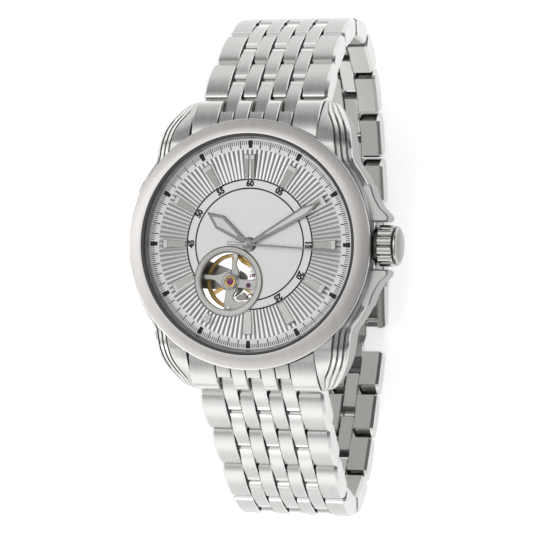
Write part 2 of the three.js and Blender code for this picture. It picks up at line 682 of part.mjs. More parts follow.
// The fork points at the balance staff and carries the two pallet stones towards the escape wheel.
function palletFork() {
  const lever = outline([
    [-1.9, 0.3], [-1.9, 0.14], [-1.2, 0.16], [0.1, 0.35], [0.5, 1.0], [0.8, 1.0], [0.7, 0],
    [0.8, -1.0], [0.5, -1.0], [0.1, -0.35], [-1.2, -0.16], [-1.9, -0.14], [-1.9, -0.3], [-1.3, -0.3],
    [-0.2, -0.55], [0.2, -1.3], [1.1, -1.3], [1.2, 0], [1.1, 1.3], [0.2, 1.3], [-0.2, 0.55], [-1.3, 0.3],
  ]);
  const body = plateZ(lever, 6.75, 6.92);
  const towards = Math.atan2(PALLET.y - HEART.y, PALLET.x - HEART.x);
  body.rotateZ(towards).translate(PALLET.x, PALLET.y, 0);
  const hub = discZ(0.45, 6.7, 6.95, 10, PALLET.x, PALLET.y);
  const arbor = discZ(0.15, 6.6, 7.6, 8, PALLET.x, PALLET.y);
  return join(body, hub, arbor);
}

function rotor() {
  const [reach, from, to] = [12.8, Math.PI * 0.98, Math.PI * 2.02];
  const half = new THREE.Shape();
  half.absarc(0, 0, reach, from, to, false);
  half.lineTo(1.8, 0.6);
  half.absarc(0, 0, 2.9, 0.2, Math.PI - 0.2, false);
  const plate = plateZ(half, 2.35, 2.75, 10);
  const rim = new THREE.Shape();
  rim.absarc(0, 0, reach, from, to, false);
  rim.absarc(0, 0, 10.4, to, from, true);
  // It rests on the 12 o'clock side, so that the balance can be seen right through the movement.
  return cut(join(plate, plateZ(rim, 2.0, 3.0, 10)), discZ(1.75, 0, 5, 14)).rotateZ(Math.PI);
}

function rotorBearing() {
  return join(discZ(1.65, 2.2, 3.4, 14), discZ(2.3, 2.0, 2.25, 14), discZ(2.2, 2.85, 3.4, 14));
}

function trainBridge() {
  const shape = new THREE.Shape();
  shape.absarc(0, 0, 12.9, -Math.PI * 0.42, Math.PI * 0.92, false);
  shape.lineTo(-3.2, -0.6);
  shape.lineTo(0.4, -3.4);
  return plateZ(shape, 3.5, 4.45, 20);
}

function balanceCock() {
  const arm = outline([[-0.3, 1.5], [-0.3, -1.5], [-6.8, -2.6], [-8.6, -0.6], [-8.4, 1.4], [-6.6, 2.4]]);
  const turnedArm = plateZ(arm, 3.9, 4.9).rotateZ(THREE.MathUtils.degToRad(-12));
  turnedArm.translate(HEART.x, HEART.y, 0);
  return join(turnedArm, discZ(1.6, 3.9, 4.9, 16, HEART.x, HEART.y));
}

function barrel() {
  const { x, y } = BARREL;
  const drum = discZ(5.0, 5.9, 7.4, 20, x, y);
  const gear = discZ(5.45, 5.9, 6.2, 20, x, y);
  return join(drum, gear, discZ(0.7, 4.6, 7.5, 12, x, y));
}

// ---------------------------------------------------------------- back
function caseBack() {
  const [hole, ledge] = [BACK_GLASS + GAP, BACK_GLASS - 0.4];
  return turned([[hole, 0], [BACK_RADIUS - 0.8, 0], [BACK_RADIUS, 0.5], [BACK_RADIUS, 1.65], [ledge, 1.65],
    [ledge, 1.3], [hole, 1.3], [hole, 0]], 30);
}

function backGlass() {
  return discZ(BACK_GLASS, 0, 1.2, 30);
}

function crystalGasket() {
  return ring(BEZEL_INNER - 0.4, BEZEL_INNER - 0.05, DIAL_TOP + 1.1, DIAL_TOP + 1.7, 32);
}

// ---------------------------------------------------------------- placing the pieces
place('mid_case', midCase(), BRUSHED);
place('crown_tube', crownTube(), POLISHED);
place('bezel', bezel(), BRUSHED);
place('crystal', crystal(), GLASS);
place('crystal_gasket', crystalGasket(), RUBBER);
place('chapter_ring', chapterRing(), SILVER);
place('dial', dial(), SILVER);
place('aperture_ring', apertureRing(), BRUSHED);
place('hour_hand', hourHand(), POLISHED);
place('minute_hand', minuteHand(), POLISHED);
place('seconds_hand', secondsHand(), POLISHED);
place('crown', crown(), POLISHED);
place('winding_stem', windingStem(), POLISHED);
place('setting_lever', settingLever(), POLISHED);

place('movement_ring', movementRing(), SILVER);
place('main_plate', mainPlate(), SILVER);
place('balance_bridge', balanceBridge(), BRUSHED);
place('balance_jewel', balanceJewel(), RUBY);
place('balance_wheel', balanceWheel(), BRASS);
place('hairspring', hairspring(), POLISHED);
place('pallet_fork', palletFork(), POLISHED);
place('escape_wheel', escapeWheel(), POLISHED);
place('center_wheel', centerWheel(), BRASS);
place('fourth_wheel', fourthWheel(), BRASS);
place('third_wheel', thirdWheel(), BRASS);
place('barrel', barrel(), BRASS);
place('train_bridge', trainBridge(), SILVER);
place('balance_cock', balanceCock(), SILVER);
place('rotor_bearing', rotorBearing(), POLISHED);
place('rotor', rotor(), BRUSHED);
place('case_back', caseBack(), BRUSHED);
place('case_back_glass', backGlass(), GLASS);
place('case_back_gasket', ring(15.2, 16.8, 1.75, 2.0, 20), RUBBER);

for (const [side, sign, chain] of [['12', 1, CHAIN_12], ['6', -1, CHAIN_6]]) {
  const barY = sign * SPRING_BAR.y;
  place(`end_link_${side}`, endLink(sign), BRUSHED);
  place(`spring_bar_${side}`, rodX(0.65, -13.2, 13.2, barY, SPRING_BAR.z, 10), POLISHED);
  for (const station of chain.slice(1)) {
    const last = sign < 0 && station === chain.at(-1);
    place(`link_${side}_${station.index}`, last ? bladeLink(station) : link(station), BRUSHED);
  }
}
place('clasp_cover', claspCover(), BRUSHED);
place('clasp_button_left', claspButton(-1), POLISHED);
place('clasp_button_right', claspButton(1), POLISHED);
place('clasp_outer_blade', outerBlade(), POLISHED);
place('clasp_inner_blade', innerBlade(), POLISHED);

export default watch;
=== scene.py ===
import math

import bmesh
import bpy
from mathutils import Matrix, Vector


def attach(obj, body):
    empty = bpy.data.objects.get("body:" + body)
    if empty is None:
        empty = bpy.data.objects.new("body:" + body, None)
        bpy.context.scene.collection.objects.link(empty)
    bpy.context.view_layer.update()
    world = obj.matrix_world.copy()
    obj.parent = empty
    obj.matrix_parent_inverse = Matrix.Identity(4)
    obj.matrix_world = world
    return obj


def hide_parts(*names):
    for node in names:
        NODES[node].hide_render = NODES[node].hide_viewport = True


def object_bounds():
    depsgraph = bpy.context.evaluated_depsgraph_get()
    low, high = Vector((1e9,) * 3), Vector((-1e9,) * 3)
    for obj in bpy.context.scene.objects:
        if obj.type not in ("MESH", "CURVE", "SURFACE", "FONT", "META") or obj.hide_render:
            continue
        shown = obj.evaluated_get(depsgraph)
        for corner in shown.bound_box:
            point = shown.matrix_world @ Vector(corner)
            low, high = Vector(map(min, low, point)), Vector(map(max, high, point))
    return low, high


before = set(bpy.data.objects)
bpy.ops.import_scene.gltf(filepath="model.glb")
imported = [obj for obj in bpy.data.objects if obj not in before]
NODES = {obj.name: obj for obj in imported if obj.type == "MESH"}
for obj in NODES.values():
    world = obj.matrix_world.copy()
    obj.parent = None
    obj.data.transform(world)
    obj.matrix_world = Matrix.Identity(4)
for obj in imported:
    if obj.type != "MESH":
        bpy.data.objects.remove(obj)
CAD_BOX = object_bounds()

# Everything below is worked out in millimetres and scaled once, when a mesh is made.
MM = 0.001

# ---- driving dimensions
DIAL_TOP = 9.2
BEZEL_OUTER = 19.9
BEZEL_INNER = 17.5
BODY_RADIUS = 19.7
CASE_TOP = DIAL_TOP - 0.35
STEM_Z = 5.8
LUG_GAP_HALF = 10.6
HEART = (-3.35, -5.9)          # the balance, seen through the opening in the dial
HEART_OPENING = 4.55

PITCH = 8.3                    # from one bracelet pin to the next but one
LINK_THICK = 3.7
PIN_DEPTH = 1.9
ROW_BARREL = 0.5               # how far the tops of the pieces curve down at their ends
FINGER_BARREL = 0.42
COLUMN = 2.46                  # width of each narrow column of the bracelet
SIDE_GAP = 0.08
END_GAP = 0.1
ROW_INNER = 2.5 * COLUMN + SIDE_GAP    # where the wide outer pieces begin
ROW_HALF = 9.75                # half width that the bracelet narrows to
ROW_FLARE = 1.4                # how much wider it is at the case, halved with every row
SMALL = (0.13, 0.13)           # chamfer of the bracelet's pieces: width and depth
BROAD = (0.5, 0.34)            # chamfer along the bracelet's two outer edges
PIN_RADIUS = 0.42
PIN_REACH = 8.2
FIRST_PIN = (21.35, 2.1)
END_SLOPE = 36
SLOPES_12 = [43, 52, 67, 96, 129, 150, 161, 166]
SLOPES_6 = [42, 43, 46, 68, 122, 149, 154, 154]
CLASP_SLOPE = 175

COVER_START = -1.6
COVER_END = 19.7
CLASP_HALF = 9.6
COVER_WALL = 1.3
BLADE_HALF = 6.2
BUTTON = (11.5, 0.35)
BUTTON_RADIUS = 1.0
FOLD_PIN = (3.9, 0.35)

HOUR_ANGLE = 306
MINUTE_ANGLE = 60
SECOND_ANGLE = 93.6


# ---- materials
def feed(tree, node, inputs):
    """Sets a node's inputs. A value that is another node's output is linked."""
    for name, value in inputs.items():
        if isinstance(value, bpy.types.NodeSocket):
            tree.links.new(value, node.inputs[name])
        else:
            node.inputs[name].default_value = value


def add_node(tree, kind, inputs=None, **settings):
    node = tree.nodes.new("ShaderNode" + kind)
    for name, value in settings.items():
        setattr(node, name, value)
    feed(tree, node, inputs or {})
    return node.outputs


def new_material(name):
    material = bpy.data.materials.new(name)
    material.use_nodes = True
    return material, material.node_tree, material.node_tree.nodes["Principled BSDF"]


def plain(name, color, roughness, metallic=0.0, alpha=1.0):
    material, tree, shader = new_material(name)
    feed(tree, shader, {"Base Color": (*color, 1), "Roughness": roughness, "Metallic": metallic,
                        "Alpha": alpha})
    return material


def brushed(name, color, roughness, stroke, depth=0.12):
    """Metal with fine scratches. stroke is the noise scale along X, Y and Z, in cycles a metre:
    a low figure lies along the scratches."""
    material, tree, shader = new_material(name)
    place = add_node(tree, "TexCoord")["Object"]
    stretched = add_node(tree, "Mapping", {"Scale": stroke, "Vector": place})["Vector"]
    grain = add_node(tree, "TexNoise", {"Scale": 1.0, "Detail": 3.0, "Vector": stretched})["Fac"]
    spread = {"To Min": roughness - 0.08, "To Max": roughness + 0.1, "Value": grain}
    rough = add_node(tree, "MapRange", spread)["Result"]
    dim, light = [c * 0.86 for c in color], [min(c * 1.1, 1) for c in color]
    tint = add_node(tree, "MixRGB", {"Color1": (*dim, 1), "Color2": (*light, 1), "Fac": grain})["Color"]
    bump = add_node(tree, "Bump", {"Strength": depth, "Distance": 0.00003, "Height": grain})["Normal"]
    feed(tree, shader, {"Base Color": tint, "Roughness": rough, "Normal": bump, "Metallic": 1.0})
    return material


def painted_fan(name, across, along, roughness):
    """Metal of the dial's ridges: one grey at 3 and 9 o'clock, shading to another at 12 and 6, which is
    painted sheen and shade by bearing about the dial's centre.
    """
    material, tree, shader = new_material(name)
    place = add_node(tree, "TexCoord")["Object"]
    flat = add_node(tree, "VectorMath", {0: place, 1: (1, 1, 0)}, operation="MULTIPLY")["Vector"]
    unit = add_node(tree, "VectorMath", {0: flat}, operation="NORMALIZE")["Vector"]
    split = add_node(tree, "SeparateXYZ", {"Vector": unit})
    share = add_node(tree, "Math", {0: split["Y"]}, operation="ABSOLUTE")["Value"]
    first, second = [(grey, grey, grey * 0.99, 1) for grey in (across, along)]
    # painted sheen and shade: the grey follows the bearing about the dial's centre, not the lamps
    tint = add_node(tree, "MixRGB", {"Color1": first, "Color2": second, "Fac": share})["Color"]
    feed(tree, shader, {"Base Color": tint, "Roughness": roughness, "Metallic": 0.9})
    return material


def sunburst(name, color, roughness):
    """Metal brushed outwards from the dial's centre, so its shine fans out from there."""
    material, tree, shader = new_material(name)
    tangent = add_node(tree, "Tangent", direction_type="RADIAL", axis="Z")["Tangent"]
    feed(tree, shader, {"Base Color": (*color, 1), "Roughness": roughness, "Metallic": 0.9,
                        "Anisotropic": 0.5, "Tangent": tangent})
    return material


BRUSHED = brushed("brushed_steel", (0.47, 0.467, 0.457), 0.28, (9000, 90, 90))
# A lighter copy of the brushed steel for the bracelet's inner faces: painted light on their shaded side.
INNER_STEEL_LIT = brushed("inner_steel_painted_light", (0.66, 0.655, 0.64), 0.45, (9000, 90, 90))
# A darker copy of the steel for the case's ring, flat flank sides, undersides and the guards' edges:
# painted shade.
FLANK_SHADE = brushed("brushed_flank_painted_shade", (0.30, 0.297, 0.287), 0.36, (120, 120, 9000))
POLISHED = plain("polished_steel", (0.60, 0.597, 0.585), 0.14, 1.0)
BEZEL_STEEL = brushed("bezel_steel", (0.53, 0.512, 0.50), 0.42, (7000, 60, 60), 0.3)
DARK_STEEL = plain("shaded_steel", (0.13, 0.13, 0.13), 0.35, 1.0)
RUBBER = plain("grey_rubber", (0.03, 0.03, 0.032), 0.5)
INK = plain("dial_ink", (0.004, 0.004, 0.005), 0.7)
LUME = plain("light_filling", (0.58, 0.585, 0.57), 0.5)
HAND_METAL = plain("hand_metal", (0.25, 0.25, 0.245), 0.25, 1.0)
MARKER_METAL = plain("marker_metal", (0.38, 0.375, 0.36), 0.2, 1.0)
GLASS = plain("sapphire_crystal", (0.05, 0.05, 0.05), 0.02, 0.0, 0.015)
SILVER = sunburst("silvered_dial", (0.60, 0.602, 0.59), 0.42)
# Ridge tops carry a painted sheen at 12 and 6; the valleys are darker than the tops and darker still at 12
# and 6: painted shade.
RIDGE_SHEEN = painted_fan("ridge_tops_painted_sheen", 0.40, 0.74, 0.3)
VALLEY_SHADE = painted_fan("ridge_valleys_painted_shade", 0.30, 0.20, 0.4)
REHAUT = plain("silvered_flange", (0.45, 0.453, 0.455), 0.3, 0.85)
RHODIUM = brushed("rhodium_plate", (0.43, 0.425, 0.412), 0.4, (300, 7000, 300), 0.1)
GREY_PLATE = plain("grained_plate", (0.30, 0.29, 0.28), 0.5, 0.9)
GILT = plain("gilt_brass", (0.62, 0.42, 0.15), 0.28, 1.0)
RUBY = plain("ruby", (0.14, 0.018, 0.11), 0.12)
# Dark steel for the hub's grooves, the gaps under the bridge, the jewel's sink and the crown's neck:
# painted shade.
GROOVE_SHADE = plain("painted_groove_shade", (0.09, 0.088, 0.082), 0.4, 1.0)
CROWN_STEEL = plain("crown_steel", (0.42, 0.415, 0.405), 0.18, 1.0)
# Darker steel for the flank's rib grooves, the crown's end and the opening frame's sides and underside:
# painted shade.
SHADE_STEEL = plain("painted_shade_steel", (0.27, 0.268, 0.26), 0.25, 1.0)
RED_SPRING = plain("red_spring", (0.20, 0.012, 0.02), 0.3)


# ---- mesh building
class Shell:
    """Points in millimetres and faces with a material index, gathered into one mesh."""

    def __init__(self):
        self.points = []
        self.faces = []
        self.looks = []

    def face(self, corners, look=0):
        self.faces.append(tuple(corners))
        self.looks.append(look)

    def grid(self, rows, look=0, looks=None, close_rows=False, close_cols=False, caps=None):
        """Joins rows of points with quads. looks gives each column its own material index,
        and caps is the material index of the two end faces."""
        base, count, width = len(self.points), len(rows), len(rows[0])
        for row in rows:
            self.points.extend(row)
        for i in range(count if close_rows else count - 1):
            j = (i + 1) % count
            for k in range(width if close_cols else width - 1):
                m = (k + 1) % width
                corners = [base + a * width + b for a, b in ((i, k), (i, m), (j, m), (j, k))]
                self.face(corners, looks[k] if looks else look)
        if caps is not None:
            last = base + (count - 1) * width
            self.face(range(base + width - 1, base - 1, -1), caps)
            self.face(range(last, last + width), caps)


def add_object(name, data):
    item = bpy.data.objects.new(name, data)
    bpy.context.scene.collection.objects.link(item)
    return item


def clean_mesh(name, shell, materials=()):
    """The shell as a mesh in metres, with doubled points merged and the faces turned outwards."""
    mesh = bpy.data.meshes.new(name)
    mesh.from_pydata([Vector(p) * MM for p in shell.points], [], shell.faces)
    for material in materials:
        mesh.materials.append(material)
    mesh.polygons.foreach_set("material_index", shell.looks)
    work = bmesh.new()
    work.from_mesh(mesh)
    bmesh.ops.remove_doubles(work, verts=work.verts, dist=2e-6)
    bmesh.ops.dissolve_degenerate(work, dist=1e-6, edges=work.edges)
    bmesh.ops.recalc_face_normals(work, faces=work.faces)
    work.to_mesh(mesh)
    work.free()
    return mesh


def publish(name, shell, materials, body, replaced, sharp):
    """Makes the shell an object that rides on a body and stands for CAD nodes. It is shaded
    smooth, except at edges that turn by more than the sharp angle in degrees."""
    mesh = clean_mesh(name, shell, materials)
    mesh.shade_smooth()
    mesh.set_sharp_from_angle(angle=math.radians(sharp))
    item = add_object(name, mesh)
    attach(item, body)
    if replaced:
        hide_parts(*replaced)
    return item


def turn(shell, profile, steps=96, look=0, looks=None, centre=(0, 0), closed=True):
    """Revolves a [radius, height] profile about a vertical axis."""
    rows = []
    for i in range(steps):
        a = 2 * math.pi * i / steps
        rows.append([(centre[0] + r * math.cos(a), centre[1] + r * math.sin(a), z) for r, z in profile])
    shell.grid(rows, look, looks, close_rows=True, close_cols=closed)


def tube(inner, outer, low, high):
    """Profile of a plain ring, or of a disc where the inner radius is 0."""
    return [(inner, low), (outer, low), (outer, high), (inner, high)]


def turn_x(shell, profile, y, z, steps=32, look=0, looks=None, radius_at=None):
    """Revolves an [x, radius] profile about an axis along X; radius_at(angle, x, radius) can flute it."""
    rows = []
    for i in range(steps):
        a = 2 * math.pi * i / steps
        row = []
        for x, r in profile:
            shaped = radius_at(a, x, r) if radius_at else r
            row.append((x, y + shaped * math.cos(a), z + shaped * math.sin(a)))
        rows.append(row)
    shell.grid(rows, look, looks, close_rows=True, close_cols=False)


def rod(shell, low, high, radius, at, steps=16):
    """A polished rod along X through a [y, z] point."""
    turn_x(shell, [(low, 0), (low, radius), (high, radius), (high, 0)], *at, steps, 1)


def inset(outline, distance):
    """Moves each edge of an outline inwards by a distance."""
    area = sum(a[0] * b[1] - b[0] * a[1] for a, b in zip(outline, outline[1:] + outline[:1]))
    side = 1 if area > 0 else -1
    moved = []
    for i, point in enumerate(outline):
        before, after = outline[i - 1], outline[(i + 1) % len(outline)]
        first = Vector((point[0] - before[0], point[1] - before[1])).normalized()
        second = Vector((after[0] - point[0], after[1] - point[1])).normalized()
        normal = Vector((-(first.y + second.y), first.x + second.x)) * side
        if normal.length < 1e-9:
            moved.append(point)
            continue
        normal.normalize()
        lean = max(0.35, normal.dot(Vector((-first.y, first.x)) * side))
        moved.append((point[0] + normal.x * distance / lean, point[1] + normal.y * distance / lean))
    return moved


def crosswise(shell, rows, look, looks, caps):
    """Joins closed sections along X; the first and last strips, the chamfers, look like the end faces."""
    base, width = len(shell.faces), len(rows[0])
    shell.grid(rows, look, looks, close_cols=True, caps=caps)
    for k in range(width):
        shell.looks[base + k] = caps
        shell.looks[base + (len(rows) - 2) * width + k] = caps


def bar(shell, section, low, high, first=0.1, last=None, looks=None, look=0, caps=1):
    """A bar along X with a [y, z] section and a chamfer at each end: (width, depth) or one figure."""
    first, last = [c if isinstance(c, tuple) else (c, c) for c in (first, first if last is None else last)]
    rows = []
    for x, depth in [(low, first[1]), (low + first[0], 0), (high - last[0], 0), (high, last[1])]:
        rows.append([(x, y, z) for y, z in (inset(section, depth) if depth else section)])
    crosswise(shell, rows, look, looks, caps)


def slab(shell, outline, low, high, chamfer=0.05, look=0, edge=None, bottom_chamfer=0.0):
    """A plate from an [x, y] outline, with its upper edge chamfered."""
    edge = look if edge is None else edge
    rows = []
    if bottom_chamfer:
        rows.append([(x, y, low) for x, y in inset(outline, bottom_chamfer)])
        rows.append([(x, y, low + bottom_chamfer) for x, y in outline])
    else:
        rows.append([(x, y, low) for x, y in outline])
    rows.append([(x, y, high - chamfer) for x, y in outline])
    rows.append([(x, y, high) for x, y in inset(outline, chamfer)])
    shell.grid(rows, edge, close_cols=True, caps=look)


def rounded(points, radius, steps=4):
    """Replaces each corner of an outline with a short curve."""
    curve = []
    for i, point in enumerate(points):
        p = Vector(point)
        before, after = Vector(points[i - 1]), Vector(points[(i + 1) % len(points)])
        reach_in = min(radius, (before - p).length * 0.45)
        reach_out = min(radius, (after - p).length * 0.45)
        start = p + (before - p).normalized() * reach_in
        end = p + (after - p).normalized() * reach_out
        for k in range(steps + 1):
            t = k / steps
            curve.append(tuple((1 - t) ** 2 * start + 2 * t * (1 - t) * p + t * t * end))
    return curve


def spaced(first, last, steps):
    """Evenly spaced numbers from the first to the last."""
    return [first + (last - first) * i / steps for i in range(steps + 1)]


def arc(cx, cy, radius, start, end, steps):
    """Points on an arc, its angles in degrees."""
    span = [math.radians(degrees) for degrees in spaced(start, end, steps)]
    return [(cx + radius * math.cos(a), cy + radius * math.sin(a)) for a in span]


def smooth_path(points, steps=6):
    """A Catmull-Rom curve through the points."""
    padded = [points[0]] + list(points) + [points[-1]]
    curve = []
    for i in range(1, len(padded) - 2):
        p0, p1, p2, p3 = (Vector(padded[i + k]) for k in (-1, 0, 1, 2))
        for k in range(steps):
            t = k / steps
            curve.append(tuple(0.5 * (2 * p1 + (p2 - p0) * t + (2 * p0 - 5 * p1 + 4 * p2 - p3) * t * t
                                      + (3 * p1 - p0 - 3 * p2 + p3) * t ** 3)))
    curve.append(tuple(points[-1]))
    return curve


def turned_outline(points, degrees, centre=(0, 0)):
    """Turns an [x, y] outline anticlockwise about the origin and then moves it."""
    c, s = math.cos(math.radians(degrees)), math.sin(math.radians(degrees))
    return [(centre[0] + x * c - y * s, centre[1] + x * s + y * c) for x, y in points]


# ---- bracelet geometry
def along(point, slope, distance, sign):
    a = math.radians(slope)
    return (point[0] + sign * distance * math.cos(a), point[1] - distance * math.sin(a))


def laid(profile, point, slope, sign):
    """Places [distance along, depth below the pin line] points from a pin along a slope."""
    c, s = math.cos(math.radians(slope)), math.sin(math.radians(slope))
    return [(point[0] + sign * (u * c - v * s), point[1] - u * s - v * c) for u, v in profile]


def chain(sign):
    """The stations of one side: each has the slope of its wide row and of the fingers that leave it."""
    slopes = [END_SLOPE] + (SLOPES_12 if sign > 0 else SLOPES_6) + [CLASP_SLOPE]
    mid = (sign * FIRST_PIN[0], FIRST_PIN[1])
    start = along(mid, END_SLOPE, -PITCH / 2, sign)
    stations = []
    for i in range(len(slopes) - 1):
        finger_slope = (slopes[i] + slopes[i + 1]) / 2
        end = along(mid, finger_slope, PITCH / 2, sign)
        stations.append({"sign": sign, "slope": slopes[i], "finger_slope": finger_slope, "start": start,
                         "mid": mid, "end": end, "half": ROW_HALF + ROW_FLARE * 0.5 ** i})
        start = end
        mid = along(end, slopes[i + 1], PITCH / 2, sign)
    return stations


CHAIN_12 = chain(1)
CHAIN_6 = chain(-1)
CLASP_PIN = CHAIN_12[-1]["end"]
BLADE_PIN = CHAIN_6[-1]["mid"]


def clasp_laid(points):
    return laid(points, CLASP_PIN, CLASP_SLOPE, 1)


def column_span(column):
    x = column * COLUMN
    return x - COLUMN / 2 + SIDE_GAP, x + COLUMN / 2 - SIDE_GAP


def row_section():
    """Side view of a wide piece: a barrelled top, polished end facets and a narrower back.
    The second list gives each edge's material index: 0 brushed, 1 polished, 3 the inside, in a lighter
    steel that paints light on it."""
    low = -PITCH / 4 + END_GAP
    high = PITCH * 0.75 - END_GAP
    top, bottom = -PIN_DEPTH, LINK_THICK - PIN_DEPTH
    centre, half = (low + high) / 2, (high - low) / 2
    points = [(low, top + 1.15), (low + 0.12, top + 0.75)]
    points += [(u, top + ROW_BARREL * ((u - centre) / (half - 0.5)) ** 2)
               for u in spaced(low + 0.5, high - 0.5, 8)]
    points += [(high - 0.12, top + 0.75), (high, top + 1.15), (high - 0.35, bottom - 0.9),
               (high - 0.9, bottom), (low + 0.9, bottom), (low + 0.35, bottom - 0.9)]
    return points, [1] * 2 + [0] * 8 + [1] * 4 + [3, 1, 1]


def finger_section():
    """Side view of a narrow piece between two pins: round ends and a barrelled top."""
    reach = PITCH / 4 - END_GAP
    top, bottom = -PIN_DEPTH + 0.15, LINK_THICK - PIN_DEPTH - 0.3
    far = PITCH / 2
    nose = [(0, 0.15), (0.03, -0.45), (0.16, -0.95), (0.4, -1.35)]
    heel = [(0.5, bottom - 0.6), (0.9, bottom)]
    points = [(u - reach, v) for u, v in nose]
    low, high = -reach + 0.95, far + reach - 0.95
    centre = PITCH / 4
    for u in spaced(low, high, 8):
        points.append((u, top + FINGER_BARREL * ((u - centre) / (high - centre)) ** 2))
    points += [(far + reach - u, v) for u, v in nose[::-1] + heel]
    points += [(u - reach, v) for u, v in heel[::-1]]
    return points, [1] * 4 + [0] * 8 + [1] * 6 + [3, 1, 1]


def add_fingers(shell, station):
    points, looks = finger_section()
    section = laid(points, station["mid"], station["finger_slope"], station["sign"])
    for column in (-2, 0, 2):
        bar(shell, section, *column_span(column), SMALL, looks=looks)


def add_pin(shell, at):
    rod(shell, -PIN_REACH, PIN_REACH, PIN_RADIUS, at)


def add_row(shell, station):
    """Two wide outer pieces and two narrow ones between them, on a core that is out of sight."""
    points, looks = row_section()
    place = station["start"], station["slope"], station["sign"]
    section = laid(points, *place)
    for column in (-1, 1):
        bar(shell, section, *column_span(column), SMALL, looks=looks)
    bar(shell, section, ROW_INNER, station["half"], SMALL, BROAD, looks)
    bar(shell, section, -station["half"], -ROW_INNER, BROAD, SMALL, looks)
    add_core(shell, laid([(2.35, -0.9), (5.9, -0.9), (5.3, 1.3), (2.5, 1.3)], *place))


def add_core(shell, section):
    """The dark bar that holds a row's pieces together."""
    bar(shell, section, -ROW_INNER - 0.3, ROW_INNER + 0.3, 0.02, look=2, caps=2)


def publish_link(shell, node, body):
    looks = [BRUSHED, POLISHED, DARK_STEEL, INNER_STEEL_LIT]
    publish(f"bracelet_{node}", shell, looks, body, [node], 26)


def make_bracelet():
    """Eight links a side. The last one on the 6 o'clock side takes the blade's prongs for fingers."""
    for side, stations in (("12", CHAIN_12), ("6", CHAIN_6)):
        for number, station in enumerate(stations[1:], 1):
            shell = Shell()
            add_row(shell, station)
            if station is not CHAIN_6[-1]:
                add_fingers(shell, station)
                add_pin(shell, station["end"])
            node = f"link_{side}_{number}"
            publish_link(shell, node, node)


# ---- end links
WIDE_END, SHORT_END = 22.75, 21.25     # where the tops of the long and short pieces end
WIDE_TAIL = [(23.35, 3.2), (23.5, 2.56), (23.42, 1.59), (21.16, 0.05), (19.9, 0.9)]
SHORT_TAIL = [(21.45, 4.3), (21.3, 3.2), (20.6, 1.6), (20.2, 0.9), (20.0, 0.9)]


def end_link_top(y):
    """Height of the end link's rounded top at a distance y from the watch's centre."""
    t = max(0.0, min(1.0, (y - 16.5) / (WIDE_END - 16.5)))
    return 7.62 - 0.12 * t - 3.95 * max(0.0, t - 0.18) ** 1.75


def end_link_section(y_inner, y_outer, tail):
    """Side view of one end-link column, from the bezel side over the top to its tail and back below."""
    steps = 10
    points = [(y_inner, end_link_top(y_inner) - 0.14)]
    points += [(y, end_link_top(y)) for y in spaced(y_inner + 0.12, y_outer, steps)]
    points += tail + [(y_inner, 1.2)]
    return points, [1] + [0] * steps + [1] * (len(tail) + 2)


def end_link_piece(shell, sign, low, high, outer, tail, first=SMALL, last=SMALL):
    """One column of an end link, hollowed to fit round the case."""
    rim = BODY_RADIUS + 0.12
    start, span = low + first[0], high - low - first[0] - last[0]
    middle = 4 if high - low > 3 else 1
    stops = [(low, first[1]), (start, 0)]
    stops += [(start + span * i / middle, 0) for i in range(1, middle)]
    stops += [(high - last[0], 0), (high, last[1])]
    rows = []
    for x, depth in stops:
        points, looks = end_link_section(math.sqrt(rim * rim - x * x), outer, tail)
        points = [(sign * y, z) for y, z in points]
        rows.append([(x, y, z) for y, z in (inset(points, depth) if depth else points)])
    crosswise(shell, rows, 0, looks, 1)


def make_end_link(side, station):
    sign = station["sign"]
    shell = Shell()
    half = LUG_GAP_HALF - END_GAP - 0.02
    edge = (0.16, 0.16)
    for column in (-1, 1):
        end_link_piece(shell, sign, *column_span(column), WIDE_END, WIDE_TAIL)
    for column in (-2, 0, 2):
        end_link_piece(shell, sign, *column_span(column), SHORT_END, SHORT_TAIL)
    end_link_piece(shell, sign, ROW_INNER, half, WIDE_END, WIDE_TAIL, last=edge)
    end_link_piece(shell, sign, -half, -ROW_INNER, WIDE_END, WIDE_TAIL, first=edge)
    add_core(shell, [(sign * y, z) for y, z in [(19.95, 1.5), (19.95, 5.6), (20.6, 5.0), (21.0, 1.6)]])
    add_fingers(shell, station)
    add_pin(shell, station["end"])
    publish_link(shell, f"end_link_{side}", "case")


# ---- case
# The case's outer edge and its top, as [distance towards a lug, reach or height] curves.
FLANK = smooth_path([(0, 20.2), (5.2, 19.9), (8.6, 19.2), (11.4, 17.8), (13.4, 16.45), (15.8, 16.05),
                     (18.4, 15.5), (20.7, 14.3), (22.6, 12.7), (23.2, 11.2)], 5)
LUG_TOP = smooth_path([(0, CASE_TOP), (14.2, CASE_TOP), (17.4, CASE_TOP - 0.7), (19.8, CASE_TOP - 2.2),
                       (21.8, CASE_TOP - 4.1), (23.2, CASE_TOP - 6.0)], 6)


def read_off(curve, at):
    for (a, p), (b, q) in zip(curve, curve[1:]):
        if a <= at <= b:
            return p + (q - p) * (at - a) / max(b - a, 1e-9)
    return curve[-1][1]


RIBS = 3
RIB_PITCH = 0.8
RIB_START = 2.5                # the first rib's distance from the case's outer edge
CASE_LOW = 1.05                # underside of the flanks and lugs


